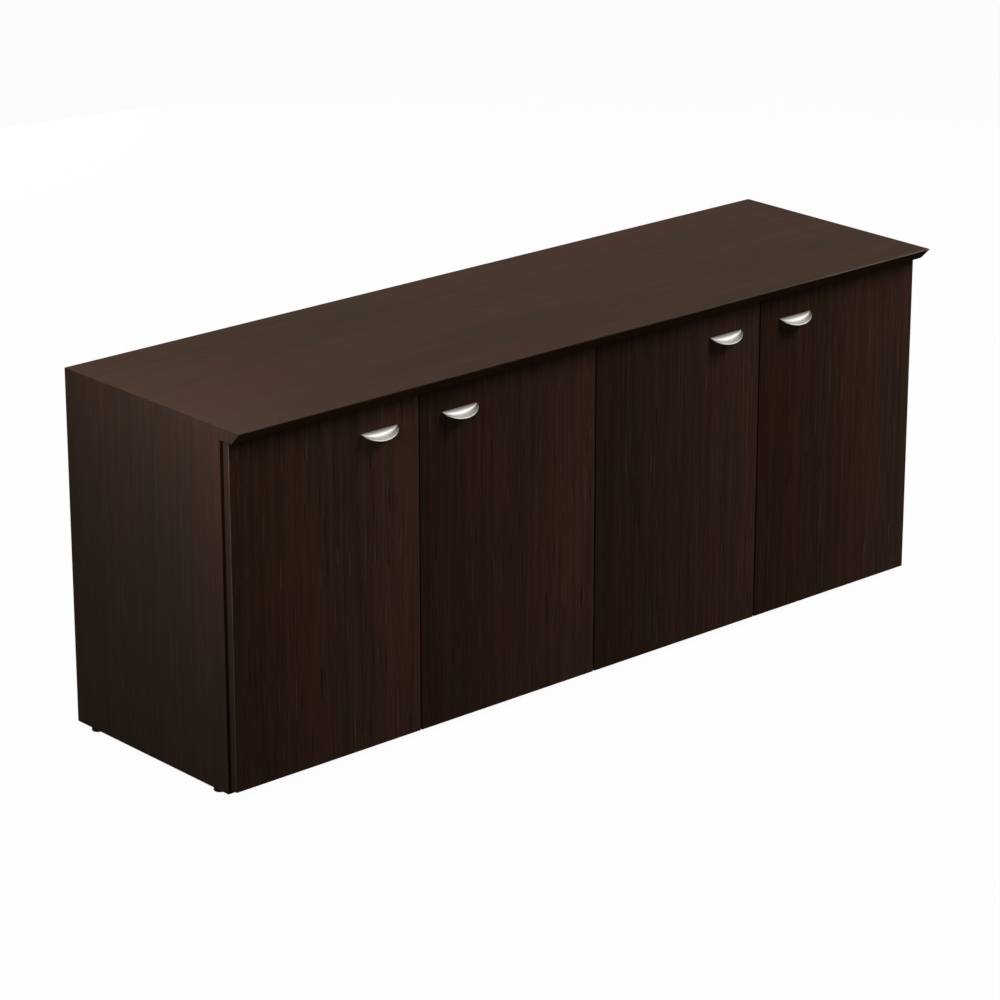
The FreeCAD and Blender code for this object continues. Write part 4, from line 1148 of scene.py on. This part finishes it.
for row in ("front", "rear"):
    for column in ("left", "centre", "right"):
        dress_glide(f"glide_{row}_{column}")
dress_fitting("glide_inserts", 0.2 * MM, 60 * MM, cast_zinc)
print("glides and inserts modelled")

# %% [markdown]
# ## Floor, light and air
# The credenza stands in a plain bright studio. To the eye the pale floor should fade into white,
# so its finish is mostly a white glow for rays that come straight from the camera or off shiny
# metal. The light that it throws back up is that of a duller floor, or the undersides would be as
# bright as the front. The air does the same. Soft boxes give the light: two overhead, two small
# ones close to the left end, whose light falls off towards the floor, and one high in front at
# the right, which throws the shadows under the nose and the pulls. Two weak ones fill the back
# and the right end, and are kept out of reflections, or they would lie as a haze on the top.


# %% Floor and world
def seen_directly(tree):
    """1 for camera, mirror and glass rays, 0 for all others."""
    path = step(tree, "ShaderNodeLightPath")
    total = maths(tree, "ADD", path.outputs["Is Camera Ray"], path.outputs["Is Glossy Ray"])
    total = maths(tree, "ADD", total, path.outputs["Is Transmission Ray"])
    return maths(tree, "MINIMUM", total, 1.0)


FLOOR_HALF = 40.0
GLOW_SHARE = 0.965
PALE = (0.88, 0.88, 0.88)
DULL = (0.20, 0.20, 0.20)
floor_mesh = bmesh.new()
bmesh.ops.create_grid(floor_mesh, x_segments=8, y_segments=8, size=FLOOR_HALF)
floor = shown("studio_floor", settled(floor_mesh, "studio_floor"))
floor_finish = bpy.data.materials.new("studio_floor_paint")
paint = empty_tree(floor_finish)
direct = seen_directly(paint)
matt = step(paint, "ShaderNodeBsdfDiffuse", {"Color": mixed(paint, direct, DULL, PALE)})
glow = step(paint, "ShaderNodeEmission", {"Color": (1, 1, 1, 1), "Strength": 1.0})
share = maths(paint, "MULTIPLY", direct, GLOW_SHARE)
blend_of_both = step(paint, "ShaderNodeMixShader", {0: share, 1: matt.outputs[0], 2: glow.outputs[0]})
step(paint, "ShaderNodeOutputMaterial", {"Surface": blend_of_both.outputs[0]})
floor.data.materials.append(floor_finish)

AIR_LIGHT = 0.09
world = bpy.data.worlds.new("studio_air")
bpy.context.scene.world = world
air = empty_tree(world)
level = step(air, "ShaderNodeMapRange", {
    "Value": seen_directly(air), "To Min": AIR_LIGHT, "To Max": 1.0,
}).outputs["Result"]
sky = step(air, "ShaderNodeBackground", {"Color": (1, 1, 1, 1), "Strength": level})
step(air, "ShaderNodeOutputWorld", {"Surface": sky.outputs[0]})
print("floor and air ready")


# %% Soft boxes
def soft_box(name, place, aim, size, watts, glossy=True):
    """Square studio light that looks at a point; the camera doesn't see it."""
    lamp = bpy.data.lights.new(name, "AREA")
    lamp.shape = "SQUARE"
    lamp.size = size
    lamp.energy = watts
    holder = shown(name, lamp)
    holder.location = place
    holder.rotation_euler = (Vector(aim) - Vector(place)).to_track_quat("-Z", "Y").to_euler()
    holder.visible_camera = False
    holder.visible_glossy = glossy


soft_box("overhead_box", (0.3, 0.4, 2.6), (0.3, 0.0, 0.7), 2.2, 21)
soft_box("back_box", (-0.1, 0.9, 2.2), (0.0, 0.1, 0.7), 1.4, 12.8)
soft_box("left_box", (-1.45, -0.45, 1.10), (-0.9, -0.1, 0.45), 0.5, 5.6)
soft_box("corner_box", (-1.25, 0.0, 1.05), (-0.9, -0.1, 0.45), 0.4, 1.3)
soft_box("front_box", (2.6, -2.6, 3.9), (0.0, -0.2, 0.4), 1.6, 129)
soft_box("rear_box", (0.9, 4.2, 1.2), (0.2, 0.2, 0.4), 2.5, 40, glossy=False)
soft_box("right_box", (4.2, 0.9, 1.1), (0.9, 0.1, 0.4), 2.0, 35, glossy=False)
print("soft boxes hung")

# %% [markdown]
# ## Camera and view
# A long lens from the left, a little above the top, shows the front, one end and the top at
# once, with gentle perspective. The view transform is Standard, so that the colours in the
# picture are the ones that the finishes and lamps give.

# %% Camera
PICTURE_WIDTH = 1000
FOCAL_PIXELS = 3884.6
YAW = math.radians(41.70)
PITCH = math.radians(19.57)
CAMERA_PLACE = (-4.9561, -5.5072, 2.9535)
SIGHT = 200                  # metres, past the far edge of the floor
camera_data = bpy.data.cameras.new("camera")
camera = shown("camera", camera_data)
camera_data.lens = camera_data.sensor_width * FOCAL_PIXELS / PICTURE_WIDTH
camera.location = CAMERA_PLACE
ahead = Vector((math.sin(YAW) * math.cos(PITCH), math.cos(YAW) * math.cos(PITCH), -math.sin(PITCH)))
camera.rotation_euler = ahead.to_track_quat("-Z", "Y").to_euler()
camera_data.clip_end = SIGHT
bpy.context.scene.camera = camera
bpy.context.scene.view_settings.view_transform = "Standard"
print("camera", tuple(camera.location), "lens", camera_data.lens)

# %% Update the scene
bpy.context.view_layer.update()
